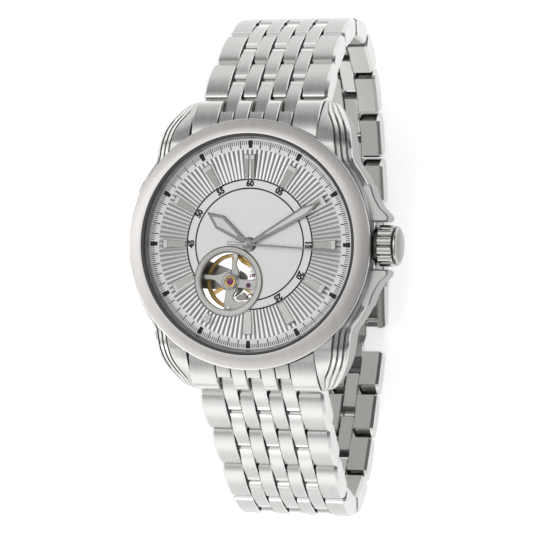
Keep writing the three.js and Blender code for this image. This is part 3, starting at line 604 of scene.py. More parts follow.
def flank_section(y):
    """Cross-section of a case flank and its lug at y: a smooth top, ribs on the outer slope and a flat
    side below. The ribs end on a diagonal across the lug's corner."""
    side = abs(y)
    outer, top = read_off(FLANK, side), read_off(LUG_TOP, side)
    inner = max(LUG_GAP_HALF, math.sqrt(max(18.2 ** 2 - side ** 2, 0)))
    inner = min(inner, outer - 0.2)
    shrink = min(1.0, max(0.05, (outer - inner) / 3.3))
    squeeze = min(1.0, (top - 1.2) / 3)
    points = [(inner, top), (outer - (RIB_START + 0.1) * shrink, top - 0.06)]
    for rib in range(RIBS):
        start = RIB_START - rib * RIB_PITCH
        fade = max(0.0, min(1.0, (19.2 + start - side) / 0.5, (side - 12.4) / 1.5))
        for across, groove in [(0, 0), (0.07, 1), (0.25, 1), (0.32, 0)]:
            out = start - across
            drop = 0.12 + 0.55 * (RIB_START - out) + 0.3 * groove * fade * shrink
            points.append((outer - out * shrink, top - drop * squeeze))
    points += [(outer - 0.12 * shrink, top - 1.45 * squeeze), (outer, top - 1.65 * squeeze),
               (outer, min(2.3, top - 1.2)), (outer - 0.55 * shrink, CASE_LOW), (inner, CASE_LOW)]
    return [(x, max(z, CASE_LOW)) for x, z in points]


def add_flank(shell, sign):
    # 2 is the rib grooves and 3 the flat side, underside and inner wall, both in darker steel that is
    # painted shade
    looks = [0, 1] + [2, 2, 2, 1] * RIBS + [1, 3, 1, 3, 3]
    stops = [i * 0.5 for i in range(0, 46)] + [22.75, 23.0, 23.2]
    ys = [-y for y in reversed(stops[1:])] + stops
    rows = [[(sign * x, y, z) for x, z in flank_section(y)] for y in ys]
    shell.grid(rows, 0, looks, close_cols=True, caps=1)


def crown_guard_outline(sign):
    shape = rounded([(18.0, 3.75), (21.9, 3.75), (22.3, 4.2), (22.05, 4.85), (20.9, 5.9), (19.95, 7.6),
                     (19.3, 9.6), (18.0, 9.6)], 0.35, 3)
    return [(x, sign * y) for x, y in shape]


def make_mid_case():
    shell = Shell()
    turn(shell, [(17.55, CASE_LOW), (BODY_RADIUS - 0.25, CASE_LOW), (BODY_RADIUS, 1.3),
                 (BODY_RADIUS, CASE_TOP - 0.15), (BODY_RADIUS - 0.15, CASE_TOP), (17.25, CASE_TOP),
                 (17.25, 8.3), (14.6, 8.3), (14.6, 2.1), (17.55, 2.1)], 120, 3)
    for sign in (1, -1):
        add_flank(shell, sign)
        slab(shell, crown_guard_outline(sign), STEM_Z - 2.6, STEM_Z + 2.1, 0.2, edge=3, bottom_chamfer=0.3)
    # the two darker steels paint shade on the rib grooves and on the ring, flank sides and guard edges
    looks = [BRUSHED, POLISHED, SHADE_STEEL, FLANK_SHADE]
    publish("watch_case", shell, looks, "case", ["mid_case"], 28)


def make_bezel():
    low = DIAL_TOP - 0.3
    shell = Shell()
    outside = [(-0.35, 0), (-0.08, 0.12), (0, 0.4), (0, 0.9), (-0.05, 1.0), (-0.2, 1.1)]
    inside = [(1.2, 1.72), (0.2, 2.07), (0.05, 2.06), (0, 1.95)]
    profile = [(BEZEL_INNER, low)] + [(BEZEL_OUTER + r, low + z) for r, z in outside]
    profile += [(BEZEL_INNER + r, low + z) for r, z in inside]
    looks = [1, 1, 0, 0, 1, 1, 0, 0, 1, 1, 1]
    turn(shell, profile, 144, looks=looks)
    publish("bezel_ring", shell, [BEZEL_STEEL, POLISHED], "case", ["bezel"], 26)


def make_glazing():
    base = DIAL_TOP + 1.15
    shell = Shell()
    turn(shell, [(0, base), (BEZEL_INNER - 0.45, base), (BEZEL_INNER - 0.45, base + 0.5),
                 (BEZEL_INNER - 0.6, base + 0.7), (BEZEL_INNER - 0.9, base + 0.8), (8, base + 0.84),
                 (0, base + 0.85)], 120, closed=False)
    publish("front_crystal", shell, [GLASS], "case", ["crystal"], 30)
    gasket = Shell()
    turn(gasket, tube(BEZEL_INNER - 0.4, BEZEL_INNER - 0.02, DIAL_TOP + 1.0, DIAL_TOP + 1.72), 120)
    publish("crystal_seal", gasket, [RUBBER], "case", ["crystal_gasket"], 30)


# ---- dial
def tick(shell, degrees, inner, outer, width, low, high):
    """A printed bar that points outwards, at an angle clockwise from 12."""
    outline = [(-width / 2, inner), (width / 2, inner), (width / 2, outer), (-width / 2, outer)]
    slab(shell, turned_outline(outline, -degrees), low, high, 0.005)


def make_chapter_ring():
    shell = Shell()
    low = DIAL_TOP + 0.05
    turn(shell, [(16.62, low), (17.15, low), (17.15, low + 0.95), (17.02, low + 0.95), (16.75, low + 0.22),
                 (16.62, low + 0.12)], 120)
    publish("rehaut_ring", shell, [REHAUT], "case", ["chapter_ring"], 30)


RIDGES = 120
RIDGE_INNER = 10.5
RIDGE_OUTER = 15.0
HAND_HOLE = 1.15
DIAL_EDGE = 16.9
MARKER_END = 14.3
RIDGE_DROPS = (0.0, 0.0, 0.04, 0.12, 0.12, 0.04)     # depth of the face at the steps of one ridge
# The valley steps take the darker valley material, which is painted shade in the flutes.
VALLEY_STEPS = (2, 3, 4)                             # the steps that look like the valley


def add_dial_face(shell):
    """The dial's top: flat within, fluted between two radii, flat and cambered outside.
    The opening for the balance is cut away afterwards."""
    steps = RIDGES * len(RIDGE_DROPS)
    radii = [HAND_HOLE, 4.0, 8.0, RIDGE_INNER - 0.05, RIDGE_INNER, RIDGE_INNER + 0.3, RIDGE_OUTER - 0.3,
             RIDGE_OUTER, RIDGE_OUTER + 0.05, DIAL_EDGE]
    rows = []
    for i in range(steps):
        a = 2 * math.pi * i / steps
        drop = RIDGE_DROPS[i % len(RIDGE_DROPS)]
        row = []
        for r in radii:
            inside = RIDGE_INNER < r < RIDGE_OUTER
            row.append((r * math.cos(a), r * math.sin(a), DIAL_TOP - (drop if inside else 0)))
        for r in (DIAL_EDGE, HAND_HOLE):
            row.append((r * math.cos(a), r * math.sin(a), DIAL_TOP - 0.4))
        rows.append(row)
    looks = [0, 0, 0, 1, 1, 1, 1, 1, 0, 0, 0, 0]
    shell.grid(rows, 0, looks, close_rows=True, close_cols=True)
    # the valley steps of the fluted band get the painted shade
    for i in range(steps):
        lowest = i % len(RIDGE_DROPS) in VALLEY_STEPS
        for k in range(len(looks)):
            if looks[k] and lowest:
                shell.looks[i * len(looks) + k] = 2


def cut_round(item, centre, radius, low, high):
    """Cuts a round hole through an object, exactly."""
    shell = Shell()
    turn(shell, tube(0, radius, low, high), 96, centre=centre, closed=False)
    tool = add_object("tool", clean_mesh("tool", shell))
    step = item.modifiers.new("cut", "BOOLEAN")
    step.operation = "DIFFERENCE"
    step.solver = "EXACT"
    step.object = tool
    bpy.context.view_layer.update()
    depsgraph = bpy.context.evaluated_depsgraph_get()
    result = bpy.data.meshes.new_from_object(item.evaluated_get(depsgraph))
    item.modifiers.clear()
    old = item.data
    item.data = result
    bpy.data.meshes.remove(old)
    bpy.data.objects.remove(tool)


def make_dial():
    shell = Shell()
    add_dial_face(shell)
    item = publish("dial_plate", shell, [SILVER, RIDGE_SHEEN, VALLEY_SHADE], "case", ["dial"], 24)
    cut_round(item, HEART, HEART_OPENING + 0.5, DIAL_TOP - 2, DIAL_TOP + 1)


def add_wedge(shell, outline, degrees, low, height_at, chamfer=0.09):
    """A bar whose top rises with the distance from the dial's centre."""
    rows = [[(x, y, low) for x, y in turned_outline(outline, degrees)]]
    for shape, drop in [(outline, chamfer), (inset(outline, chamfer), 0)]:
        heights = [height_at(y) - drop for _, y in shape]
        rows.append([(x, y, z) for (x, y), z in zip(turned_outline(shape, degrees), heights)])
    shell.grid(rows, 2, close_cols=True, caps=0)


def make_markers():
    """Applied bars that widen outwards, each with a light block at its outer end."""
    shell = Shell()
    low, high = DIAL_TOP - 0.05, DIAL_TOP + 0.48
    for hour in range(1, 13):
        inner = 12.9 if hour == 7 else 10.55
        twin = [(-0.5, 0.26, 0.4), (0.5, 0.26, 0.4)]
        for shift, narrow, wide in twin if hour == 12 else [(0, 0.52, 0.74)]:
            base = [(shift - narrow, inner), (shift + narrow, inner), (shift + wide, MARKER_END),
                    (shift - wide, MARKER_END)]
            add_wedge(shell, base, -30 * hour, low, lambda r: DIAL_TOP + 0.12 + 0.11 * (r - inner))
            block = [(shift - wide + 0.1, MARKER_END - 0.75), (shift + wide - 0.1, MARKER_END - 0.75),
                     (shift + wide - 0.1, MARKER_END - 0.12), (shift - wide + 0.1, MARKER_END - 0.12)]
            slab(shell, turned_outline(block, -30 * hour), high - 0.1, high + 0.07, 0.03, look=1)
    publish("hour_markers", shell, [MARKER_METAL, LUME, POLISHED], "case", [], 20)


def make_printing():
    """The fifth-of-a-minute track, the two circles inside the ridges and the minute figures."""
    shell = Shell()
    low, high = DIAL_TOP - 0.01, DIAL_TOP + 0.02
    for i in range(300):
        if i % 25 == 0:
            inner, outer, width = 15.3, 16.5, 0.62
        elif i % 5 == 0:
            inner, outer, width = 15.25, 16.45, 0.17
        else:
            inner, outer, width = 15.8, 16.45, 0.12
        tick(shell, i * 1.2, inner, outer, width, low, high)
    for radius in (8.9, 10.32):
        start, end = circle_run(radius)
        outline = arc(0, 0, radius + 0.12, start, end, 90) + arc(0, 0, radius - 0.12, end, start, 90)
        slab(shell, outline, low, high, 0.005)
    publish("dial_printing", shell, [INK], "case", [], 30)
    for value in (60, 5, 10, 15, 20, 25, 45, 50, 55):
        make_numeral(value)


def circle_run(radius):
    """The stretch of a circle about the dial's centre that the balance opening doesn't cut, in degrees."""
    distance = math.hypot(*HEART)
    bearing = math.degrees(math.atan2(HEART[1], HEART[0]))
    edge = HEART_OPENING + 1.05
    cosine = (radius ** 2 + distance ** 2 - edge ** 2) / (2 * radius * distance)
    half = math.degrees(math.acos(max(-1, min(1, cosine))))
    return bearing + half, bearing + 360 - half


def make_numeral(value):
    """A small printed minute figure whose top points outwards."""
    label = f"{value:02d}"
    font = bpy.data.curves.new(f"figure_{label}", "FONT")
    font.body = label
    font.size = 1.26 * MM
    font.offset = 0.08 * MM
    font.align_x = "CENTER"
    font.align_y = "CENTER"
    font.extrude = 0.004 * MM
    font.resolution_u = 3
    source = add_object(f"figure_{label}", font)
    bpy.context.view_layer.update()
    mesh = bpy.data.meshes.new_from_object(source.evaluated_get(bpy.context.evaluated_depsgraph_get()))
    bpy.data.objects.remove(source)
    angle = -math.radians(value * 6)
    radius = 9.62 * MM
    place = Matrix.Translation((0, radius, (DIAL_TOP + 0.006) * MM))
    mesh.transform(Matrix.Rotation(angle, 4, "Z") @ place)
    mesh.materials.clear()
    mesh.materials.append(INK)
    item = add_object(f"minute_figure_{label}", mesh)
    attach(item, "case")


def make_aperture_ring():
    shell = Shell()
    inner, outer, top = HEART_OPENING, HEART_OPENING + 1.1, DIAL_TOP + 0.22
    # its top is rhodium; the chamfers, walls and underside take the darker steel, painted shade
    turn(shell, [(inner, DIAL_TOP - 0.35), (inner + 0.42, DIAL_TOP - 0.35), (inner + 0.42, DIAL_TOP + 0.02),
                 (outer, DIAL_TOP + 0.02), (outer, DIAL_TOP + 0.08), (outer - 0.1, top - 0.06),
                 (outer - 0.2, top), (inner + 0.3, top), (inner + 0.08, top - 0.06),
                 (inner, DIAL_TOP + 0.05)], 96, looks=[1, 1, 1, 1, 1, 1, 0, 1, 1, 1], centre=HEART)
    publish("opening_frame", shell, [RHODIUM, SHADE_STEEL], "case", ["aperture_ring"], 26)


# ---- hands
def lance(neck, start, half, reach, length):
    """A blade that points to 12: widest at its reach and narrow at its start."""
    return [(-neck, start), (neck, start), (half, reach), (0, length), (-half, reach)]


def make_lance_hand(name, node, degrees, low, blade, panel, chamfer, hub, bore, pipe, pipe_low):
    """A lance-shaped blade with a light panel, its hub and the pipe that goes down through the dial."""
    shell = Shell()
    slab(shell, turned_outline(lance(*blade), -degrees), low, low + 0.16, chamfer)
    slab(shell, turned_outline(lance(*panel), -degrees), low + 0.12, low + 0.18, 0.02, 1)
    top = low + 0.18
    turn(shell, [(bore, low), (hub, low), (hub, top - 0.08), (hub - 0.1, top), (bore, top)], 40)
    turn(shell, tube(bore, pipe, pipe_low, low + 0.05), 32)
    publish(name, shell, [HAND_METAL, LUME], node, [node], 24)


def make_lance_hands():
    make_lance_hand("hand_hours", "hour_hand", HOUR_ANGLE, DIAL_TOP + 0.3,
                    (0.34, 0.5, 1.2, 6.0, 8.6), (0.12, 2.3, 0.72, 5.95, 7.5), 0.12,
                    1.05, 0.72, 1.0, DIAL_TOP - 1.3)
    make_lance_hand("hand_minutes", "minute_hand", MINUTE_ANGLE, DIAL_TOP + 0.58,
                    (0.3, 0.5, 0.8, 10.6, 13.4), (0.1, 3.3, 0.44, 10.55, 12.4), 0.1,
                    0.9, 0.36, 0.64, DIAL_TOP - 2.8)


def make_seconds_hand():
    low = DIAL_TOP + 0.86
    shell = Shell()
    needle = [(-0.16, -0.4), (0.16, -0.4), (0.09, 14.2), (-0.09, 14.2)]
    slab(shell, turned_outline(needle, -SECOND_ANGLE), low, low + 0.1, 0.03, 0)
    tail = [(-0.16, -0.3), (-0.275, -3.4), (0.275, -3.4), (0.16, -0.3)]
    slab(shell, turned_outline(tail, -SECOND_ANGLE), low, low + 0.1, 0.03, 0)
    slab(shell, turned_outline(inset(tail, 0.1), -SECOND_ANGLE), low + 0.09, low + 0.11, 0.005, 1)
    turn(shell, [(0, low), (0.6, low), (0.6, low + 0.07), (0.5, low + 0.12), (0.24, low + 0.14),
                 (0.2, low + 0.16), (0, low + 0.16)], 40, closed=False)
    turn(shell, tube(0, 0.22, 5.6, low + 0.02), 16, closed=False)
    publish("hand_seconds", shell, [HAND_METAL, LUME], "seconds", ["seconds_hand"], 24)


# ---- crown
CROWN_R = 3.35
CROWN_INNER = 20.5
FLUTES = 12
FLUTES_END = 23.1


def make_crown():
    shell = Shell()

    def fluted(angle, x, radius):
        if not CROWN_INNER + 0.05 < x < FLUTES_END or radius < 2.9:
            return radius
        lobe = abs(math.sin(angle * FLUTES / 2)) ** 0.55
        return radius - 0.55 * (1 - lobe)

    profile = [(19.9, 0.6), (19.9, 2.5), (20.0, 2.6), (CROWN_INNER, 2.6), (CROWN_INNER + 0.02, 3.0),
               (CROWN_INNER + 0.08, 3.2), (CROWN_INNER + 0.22, CROWN_R), (22.85, CROWN_R), (23.05, 3.1),
               (FLUTES_END, 2.85), (23.2, 2.8), (23.28, 3.1), (23.5, 3.16), (23.62, 3.05), (23.7, 2.75),
               (23.95, 2.3), (24.1, 1.5), (24.18, 0.7), (24.2, 0)]
    # 2 darkens the neck and the groove behind the flutes and 3 the end's dome: painted shade
    looks = [2, 2, 2, 2, 1, 1, 0, 1, 1, 2, 2, 1, 1, 1, 3, 3, 3, 3]
    turn_x(shell, profile, 0, STEM_Z, FLUTES * 16, looks=looks, radius_at=fluted)
    metals = [CROWN_STEEL, CROWN_STEEL, GROOVE_SHADE, SHADE_STEEL]
    publish("winding_crown", shell, metals, "crown", ["crown"], 30)


# ---- clasp
def make_clasp_cover():
    shell = Shell()
    end = COVER_END
    outer_top = [(COVER_START, 0.6), (COVER_START + 0.02, -0.9), (COVER_START + 0.45, -1.55),
                 (COVER_START + 0.95, -1.85)]
    arc_top = [(u, -1.85 - 0.45 * math.sin(math.pi * (u - COVER_START) / (end - COVER_START)))
               for u in [2 + 1.6 * i for i in range(11)]]
    tail = [(end - 0.5, -1.85), (end - 0.1, -1.5), (end, -1.1)]
    floor = [(end, -0.97), (2.0, -0.97), (2.0, 1.5), (-0.9, 1.5), (COVER_START, 0.9)]
    section = clasp_laid(outer_top + arc_top + tail + floor)
    inside = CLASP_HALF - COVER_WALL
    lid = clasp_laid([(2.0, -1.87)] + arc_top + tail + [(end, -0.97), (2.0, -0.97)])
    bar(shell, lid, -inside - 0.2, inside + 0.2, 0.02, look=0, caps=0)
    for column in (-1, 1):
        bar(shell, section, *column_span(column), 0.12)
    for sign in (1, -1):
        bar(shell, section, *sorted((sign * ROW_INNER, sign * (inside + 0.2))))
        wall = clasp_laid(outer_top + arc_top + tail + [(end, 1.0), (17.5, 1.5), (3.5, 1.6), (-0.9, 1.6),
                                                         (COVER_START, 0.9)])
        chamfers = [(0.08, 0.08), (0.45, 0.35)][::sign]
        bar(shell, wall, *sorted((sign * inside, sign * CLASP_HALF)), *chamfers)
        pivot = clasp_laid([(end - 1.4, 0.3)])[0]
        rod(shell, *sorted((sign * (BLADE_HALF + 0.1), sign * (inside + 0.1))), 0.45, pivot)
    publish("clasp_lid", shell, [BRUSHED, POLISHED], "clasp_cover", ["clasp_cover"], 26)


def make_clasp_buttons():
    at = clasp_laid([BUTTON])[0]
    inside = CLASP_HALF - COVER_WALL
    for sign, side in ((1, "right"), (-1, "left")):
        shell = Shell()
        r = BUTTON_RADIUS
        profile = [(inside - 0.7, 0), (inside - 0.7, r + 0.22), (inside - 0.15, r + 0.22),
                   (inside - 0.15, r), (CLASP_HALF + 0.4, r), (CLASP_HALF + 0.52, r - 0.12),
                   (CLASP_HALF + 0.55, r - 0.3), (CLASP_HALF + 0.5, 0)]
        turn_x(shell, [(sign * x, radius) for x, radius in profile], *at, 40)
        name = f"clasp_button_{side}"
        publish(f"push_{side}", shell, [POLISHED], name, [name], 30)


KNUCKLE_HALF = 3               # half width of the outer blade's knuckle
KNUCKLE_RADIUS = 0.85


def make_outer_blade():
    shell = Shell()
    start, end, low, high = FOLD_PIN[0], COVER_END, -0.5, 0.25
    plate = clasp_laid([(start + 1.1, low), (end - 0.95, low), (end - 0.65, -0.1), (end - 0.95, high),
                        (start + 1.1, high)])
    bar(shell, plate, -BLADE_HALF, BLADE_HALF)
    tongue = clasp_laid([(start, low), (start + 1.4, low), (start + 1.4, high), (start, high)])
    bar(shell, tongue, -KNUCKLE_HALF, KNUCKLE_HALF, 0.05)
    knuckle = [(-KNUCKLE_HALF, 0.5), (-KNUCKLE_HALF, KNUCKLE_RADIUS), (KNUCKLE_HALF, KNUCKLE_RADIUS),
               (KNUCKLE_HALF, 0.5)]
    turn_x(shell, knuckle, *clasp_laid([FOLD_PIN])[0], 24, 1)
    metals = [BRUSHED, POLISHED]
    publish("clasp_blade_outer", shell, metals, "outer_blade", ["clasp_outer_blade"], 30)


def make_inner_blade():
    fold = clasp_laid([FOLD_PIN])[0]
    a = math.radians(CLASP_SLOPE)
    dy, dz = BLADE_PIN[0] - CLASP_PIN[0], BLADE_PIN[1] - CLASP_PIN[1]
    pin_u = dy * math.cos(a) - dz * math.sin(a)
    pin_v = -dy * math.sin(a) - dz * math.cos(a)
    shell = Shell()
    low, high, start = 0.55, 1.25, FOLD_PIN[0]
    body = clasp_laid([(start + 1.3, low), (pin_u - 4.2, low), (pin_u - 3.4, pin_v - 0.9),
                       (pin_u - 2.6, pin_v - 1.0), (pin_u - 2.6, pin_v + 0.9), (pin_u - 4.4, high),
                       (start + 1.3, high)])
    bar(shell, body, -BLADE_HALF, BLADE_HALF)
    arm = clasp_laid([(start, low), (start + 1.6, low), (start + 1.6, high), (start, high)])
    for sign in (1, -1):
        ends = sorted((sign * (KNUCKLE_HALF + 0.1), sign * BLADE_HALF))
        bar(shell, arm, *ends, 0.05)
        rod(shell, *ends, KNUCKLE_RADIUS, fold, 24)
    rod(shell, -4, 4, 0.38, fold)
    prong = [(pin_u - 3.3, pin_v - 0.9), (pin_u - 1.1, pin_v - 1.5), (pin_u + 0.7, pin_v - 1.1),
             (pin_u + 1.2, pin_v), (pin_u + 0.7, pin_v + 1.0), (pin_u - 3.3, pin_v + 0.9)]
    prong = clasp_laid(rounded(prong, 0.4, 3))
    for column in (-2, 0, 2):
        bar(shell, prong, *column_span(column))
    add_pin(shell, BLADE_PIN)
    metals = [BRUSHED, POLISHED]
    publish("clasp_blade_inner", shell, metals, "inner_blade", ["clasp_inner_blade"], 30)


# ---- parts seen in the opening
# Outlines of the arms round the balance, in millimetres from its centre.
TOP_ARM = [(0.1, 1.15), (0.2, 2.0), (0.25, 2.8), (0.4, 3.5), (0.35, 4.6), (1.25, 4.6), (1.2, 3.7),
           (0.9, 2.9), (1.05, 2.2), (1.45, 1.5), (1.1, 0.7)]
LEFT_ARM = [(-4.6, 1.25), (-3.1, 1.0), (-1.9, 1.15), (-0.7, 1.75), (0.2, 1.3), (-0.2, -1.3), (-0.6, -1.6),
            (-1.25, -1.05), (-2.0, -0.45), (-2.8, 0.2), (-4.6, 0.25)]
RIGHT_ARM = [(1.1, 0.55), (1.6, 0.45), (2.9, 0.3), (4.6, 0.35), (4.6, -1.5), (2.4, -1.2), (1.0, -1.0)]
LOW_ARM = [(-0.6, -1.1), (-0.85, -2.0), (-1.0, -3.4), (-1.1, -4.6), (0.4, -4.6), (2.2, -4.2), (3.2, -3.3),
           (2.3, -3.1), (1.3, -3.25), (0.6, -2.95), (0.4, -2.3), (0.9, -1.6), (1.25, -1.0)]
CRESCENT = [(0.75, -2.75), (1.0, -2.35), (1.6, -2.1), (2.2, -1.6), (2.5, -2.2), (2.9, -2.9), (2.2, -2.95),
            (1.4, -3.1)]
SHADED_GAPS = [[(1.35, 1.75), (2.0, 1.5), (2.6, 0.95), (2.8, 0.4), (1.9, 0.5), (1.5, 0.9)],
               [(0.4, -2.5), (1.0, -1.7), (2.0, -1.15), (1.9, -1.5), (1.3, -2.1), (0.6, -2.45)]]
HOOKS = [(3.5, 0.85, -40), (3.1, -2.35, 20)]
# Two screws and a jewel in its sink, the sink in painted shade: [x, y, radius, rise above the bridge,
# material index].
STUDS = [(0.8, 4.1, 0.45, 0.16, 1), (-0.25, -4.15, 0.36, 0.16, 1), (3.0, -0.6, 0.4, 0.06, 2),
         (3.0, -0.6, 0.3, 0.1, 3)]


def around_heart(outline):
    return turned_outline(outline, 0, HEART)


def make_bridge():
    """The dial-side bridge over the balance: a hub, four curved arms, two screws and two spring hooks."""
    shell = Shell()
    low, high = 7.75, 8.25
    hub = [(0.3, low), (1.45, low), (1.45, high + 0.02), (1.38, high + 0.1), (1.3, high + 0.1),
           (1.26, high - 0.1), (1.12, high - 0.1), (1.08, high + 0.08), (0.95, high + 0.08),
           (0.92, high - 0.08), (0.3, high - 0.08)]
    # the hub's grooves in the dark steel: painted shade
    turn(shell, hub, 64, looks=[0, 0, 1, 0, 2, 2, 2, 0, 2, 0, 0], centre=HEART)
    for arm in (TOP_ARM, LEFT_ARM, RIGHT_ARM, LOW_ARM):
        slab(shell, rounded(around_heart(arm), 0.4, 3), low, high, 0.09, look=0, edge=1)
    slab(shell, rounded(around_heart(CRESCENT), 0.3, 3), low - 0.35, high - 0.3, 0.08, look=4, edge=1)
    for gap in SHADED_GAPS:
        slab(shell, rounded(around_heart(gap), 0.2, 3), low - 0.25, low - 0.1, 0.03, look=2)
    for x, y, degrees in HOOKS:
        hook = arc(x, y, 0.42, degrees, degrees + 250, 16) + arc(x, y, 0.26, degrees + 250, degrees, 16)
        slab(shell, around_heart(hook), low - 0.1, low + 0.1, 0.03, look=5)
    for x, y, radius, rise, look in STUDS:
        top = high + rise
        foot = high - 0.05
        stud = [(0, foot), (radius, foot), (radius, top - 0.05), (radius - 0.06, top), (0, top)]
        turn(shell, stud, 32, look, centre=around_heart([(x, y)])[0], closed=False)
    metals = [RHODIUM, POLISHED, GROOVE_SHADE, RUBY, GREY_PLATE, RED_SPRING]
    publish("balance_side_bridge", shell, metals, "case", ["balance_bridge"], 28)


def make_jewel():
    shell = Shell()
    z = 8.2
    setting = [(0, z), (0.89, z), (0.89, z + 0.2), (0.8, z + 0.28), (0.62, z + 0.24), (0.55, z + 0.18)]
    turn(shell, setting, 64, 0, centre=HEART, closed=False)
    stone = [(0.55, z + 0.18), (0.5, z + 0.24), (0.25, z + 0.3), (0, z + 0.32)]
    turn(shell, stone, 64, 1, centre=HEART, closed=False)
    publish("staff_jewel", shell, [GILT, RUBY], "case", ["balance_jewel"], 30)


def make_balance():
    shell = Shell()
    rim = [(3.85, 6.0), (4.4, 6.0), (4.45, 6.1), (4.45, 6.5), (4.38, 6.58), (3.92, 6.58), (3.85, 6.5)]
    turn(shell, rim, 96, centre=HEART)
    for i in range(3):
        outline = [(-0.22, 0.5), (0.22, 0.5), (0.32, 3.95), (-0.32, 3.95)]
        slab(shell, turned_outline(outline, 120 * i, HEART), 6.1, 6.42, 0.06)
    staff = [(0, 6.0), (0.75, 6.0), (0.75, 6.45), (0.68, 6.52), (0.24, 6.52), (0.24, 8.2), (0, 8.2)]
    turn(shell, staff, 40, centre=HEART, closed=False)
    turn(shell, tube(0, 0.24, 5.15, 6.1), 20, centre=HEART, closed=False)
    for i in range(12):
        spot = turned_outline([(4.15, 0)], 15 + 30 * i, HEART)[0]
        screw = [(0, 6.55), (0.16, 6.55), (0.16, 6.66), (0.1, 6.7), (0, 6.7)]
        turn(shell, screw, 12, centre=spot, closed=False)
    publish("balance_rim", shell, [GILT], "balance", ["balance_wheel"], 30)


# ---- pieces carried over from the frame
CARRIED = [
    (POLISHED, ["crown_tube", "winding_stem", "setting_lever", "spring_bar_12", "spring_bar_6",
                "hairspring", "pallet_fork", "escape_wheel", "rotor_bearing"]),
    (GILT, ["center_wheel", "fourth_wheel", "third_wheel", "barrel"]),
    (RHODIUM, ["main_plate", "train_bridge", "balance_cock", "rotor"]),
    (GREY_PLATE, ["movement_ring"]), (BRUSHED, ["case_back"]), (GLASS, ["case_back_glass"]),
    (RUBBER, ["case_back_gasket"]),
]


def finish_carried():
    for material, nodes in CARRIED:
        for node in nodes:
            NODES[node].data.materials.clear()
            NODES[node].data.materials.append(material)


# ---- surroundings
def camera_axes(yaw, pitch, roll):
    """Axes of a camera that looks down at the dial: to the right, up, and back towards the camera."""
    cy, sy, cp, sp = math.cos(yaw), math.sin(yaw), math.cos(pitch), math.sin(pitch)
    back = Vector((sy * cp, sp, cy * cp))
    right = Vector((cy, 0, -sy))
    up = back.cross(right)
    cr, sr = math.cos(roll), math.sin(roll)
    return cr * right + sr * up, -sr * right + cr * up, back


CAMERA_TURN = (16.0, -0.55, 0.73)      # yaw, pitch and roll in degrees
CAMERA_SHIFT = (2.73, -3.51)           # to the right and up, in millimetres
CAMERA_DISTANCE = 421
CAMERA_LENS = 179.4


def make_camera():
    right, up, back = camera_axes(*[math.radians(turn) for turn in CAMERA_TURN])
    shift_right, shift_up = CAMERA_SHIFT
    place = Vector((0, 0, DIAL_TOP)) + back * CAMERA_DISTANCE + right * shift_right + up * shift_up
    data = bpy.data.cameras.new("photo_camera")
    data.lens = CAMERA_LENS
    data.sensor_width = 36
    data.clip_start = 0.01
    camera = add_object("photo_camera", data)
    camera.matrix_world = Matrix.Translation(place * MM) @ Matrix((right, up, back)).transposed().to_4x4()
    bpy.context.scene.camera = camera


FLOOR_HALF = 1.2               # in metres
FLOOR_GAP = 0.0003
FLOOR_GLOW = 0.42


def make_floor():
    low = CAD_BOX[0][2] - FLOOR_GAP
    mesh = bpy.data.meshes.new("floor")
    corners = [(-1, -1), (1, -1), (1, 1), (-1, 1)]
    mesh.from_pydata([(x * FLOOR_HALF, y * FLOOR_HALF, low) for x, y in corners], [], [(0, 1, 2, 3)])
    paper = plain("floor_paper", (0.96, 0.96, 0.96), 0.9)
    glow = {"Emission Color": (1, 1, 1, 1), "Emission Strength": FLOOR_GLOW}
    feed(paper.node_tree, paper.node_tree.nodes["Principled BSDF"], glow)
    mesh.materials.append(paper)
    floor = add_object("floor", mesh)


# Brightness of the studio by bearing about X: 0 is overhead, 90 is towards 12 o'clock, -90 towards 6.
STUDIO = [(-180, 0.6), (-140, 0.4), (-116, 0.4), (-98, 1.1), (-78, 1.38), (-60, 0.7), (-45, 0.4),
          (-22, 0.62), (0, 0.6), (22, 1.25), (42, 0.5), (64, 0.2), (84, 0.6), (104, 1.35), (135, 1.5),
          (180, 0.8)]

# Its share from the left (-1) to the right (1): the right-hand side is in shade.
SIDES = [(-1, 1.0), (-0.3, 1.05), (0.1, 1.0), (0.42, 0.78), (0.7, 0.42), (1, 0.2)]


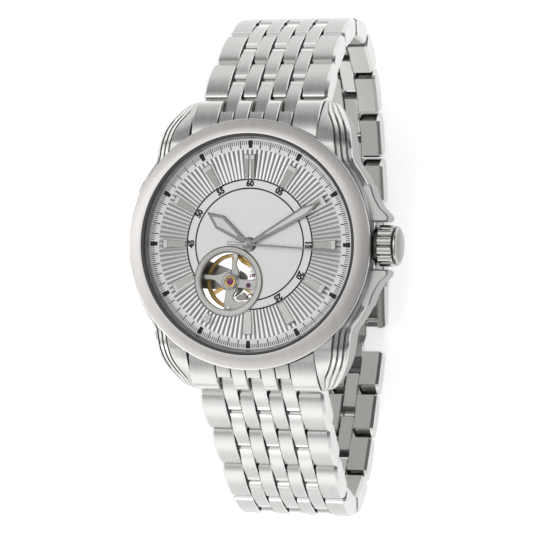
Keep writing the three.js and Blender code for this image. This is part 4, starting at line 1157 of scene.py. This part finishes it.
def grey_ramp(tree, value, reach, levels):
    """Turns a value between -reach and reach into a grey, by [share of reach, level] stops."""
    scaled = add_node(tree, "MapRange", {"From Min": -reach, "From Max": reach, "Value": value})["Result"]
    grey = add_node(tree, "ValToRGB", {"Fac": scaled})["Color"]
    grey.node.color_ramp.interpolation = "EASE"
    stops = grey.node.color_ramp.elements
    while len(stops) < len(levels):
        stops.new(0.5)
    for stop, (share, level) in zip(stops, levels):
        stop.position = (share + 1) / 2
        stop.color = (level, level, level, 1)
    return grey


def make_world():
    world = bpy.data.worlds.new("studio")
    bpy.context.scene.world = world
    world.use_nodes = True
    tree = world.node_tree
    split = add_node(tree, "SeparateXYZ", {"Vector": add_node(tree, "TexCoord")["Generated"]})
    bearing = add_node(tree, "Math", {0: split["Y"], 1: split["Z"]}, operation="ARCTAN2")["Value"]
    levels = [(degrees / 180, level) for degrees, level in STUDIO]
    by_bearing = grey_ramp(tree, bearing, math.pi, levels)
    by_side = grey_ramp(tree, split["X"], 1.0, SIDES)
    factors = {"Fac": 1.0, "Color1": by_bearing, "Color2": by_side}
    product = add_node(tree, "MixRGB", factors, blend_type="MULTIPLY")["Color"]
    feed(tree, tree.nodes["Background"], {"Color": product, "Strength": 1.6})


SOFTBOX_AT = (-0.75, 0.1, 0.42)        # in metres; it faces the origin
SOFTBOX_SIZE = 0.8
SOFTBOX_POWER = 1.2


def make_softbox():
    data = bpy.data.lights.new("softbox", "AREA")
    data.shape = "DISK"
    data.size = SOFTBOX_SIZE
    data.energy = SOFTBOX_POWER
    lamp = add_object("softbox", data)
    lamp.location = SOFTBOX_AT
    lamp.rotation_euler = (-Vector(SOFTBOX_AT)).to_track_quat("-Z", "Y").to_euler()


def make_studio():
    make_world()
    make_softbox()
    bpy.context.scene.view_settings.view_transform = "Standard"


make_bracelet()
make_end_link("12", CHAIN_12[0])
make_end_link("6", CHAIN_6[0])
make_mid_case()
make_bezel()
make_glazing()
make_chapter_ring()
make_dial()
make_markers()
make_printing()
make_aperture_ring()
make_lance_hands()
make_seconds_hand()
make_crown()
make_clasp_cover()
make_clasp_buttons()
make_outer_blade()
make_inner_blade()
make_bridge()
make_jewel()
make_balance()
finish_carried()
make_studio()
make_floor()
make_camera()
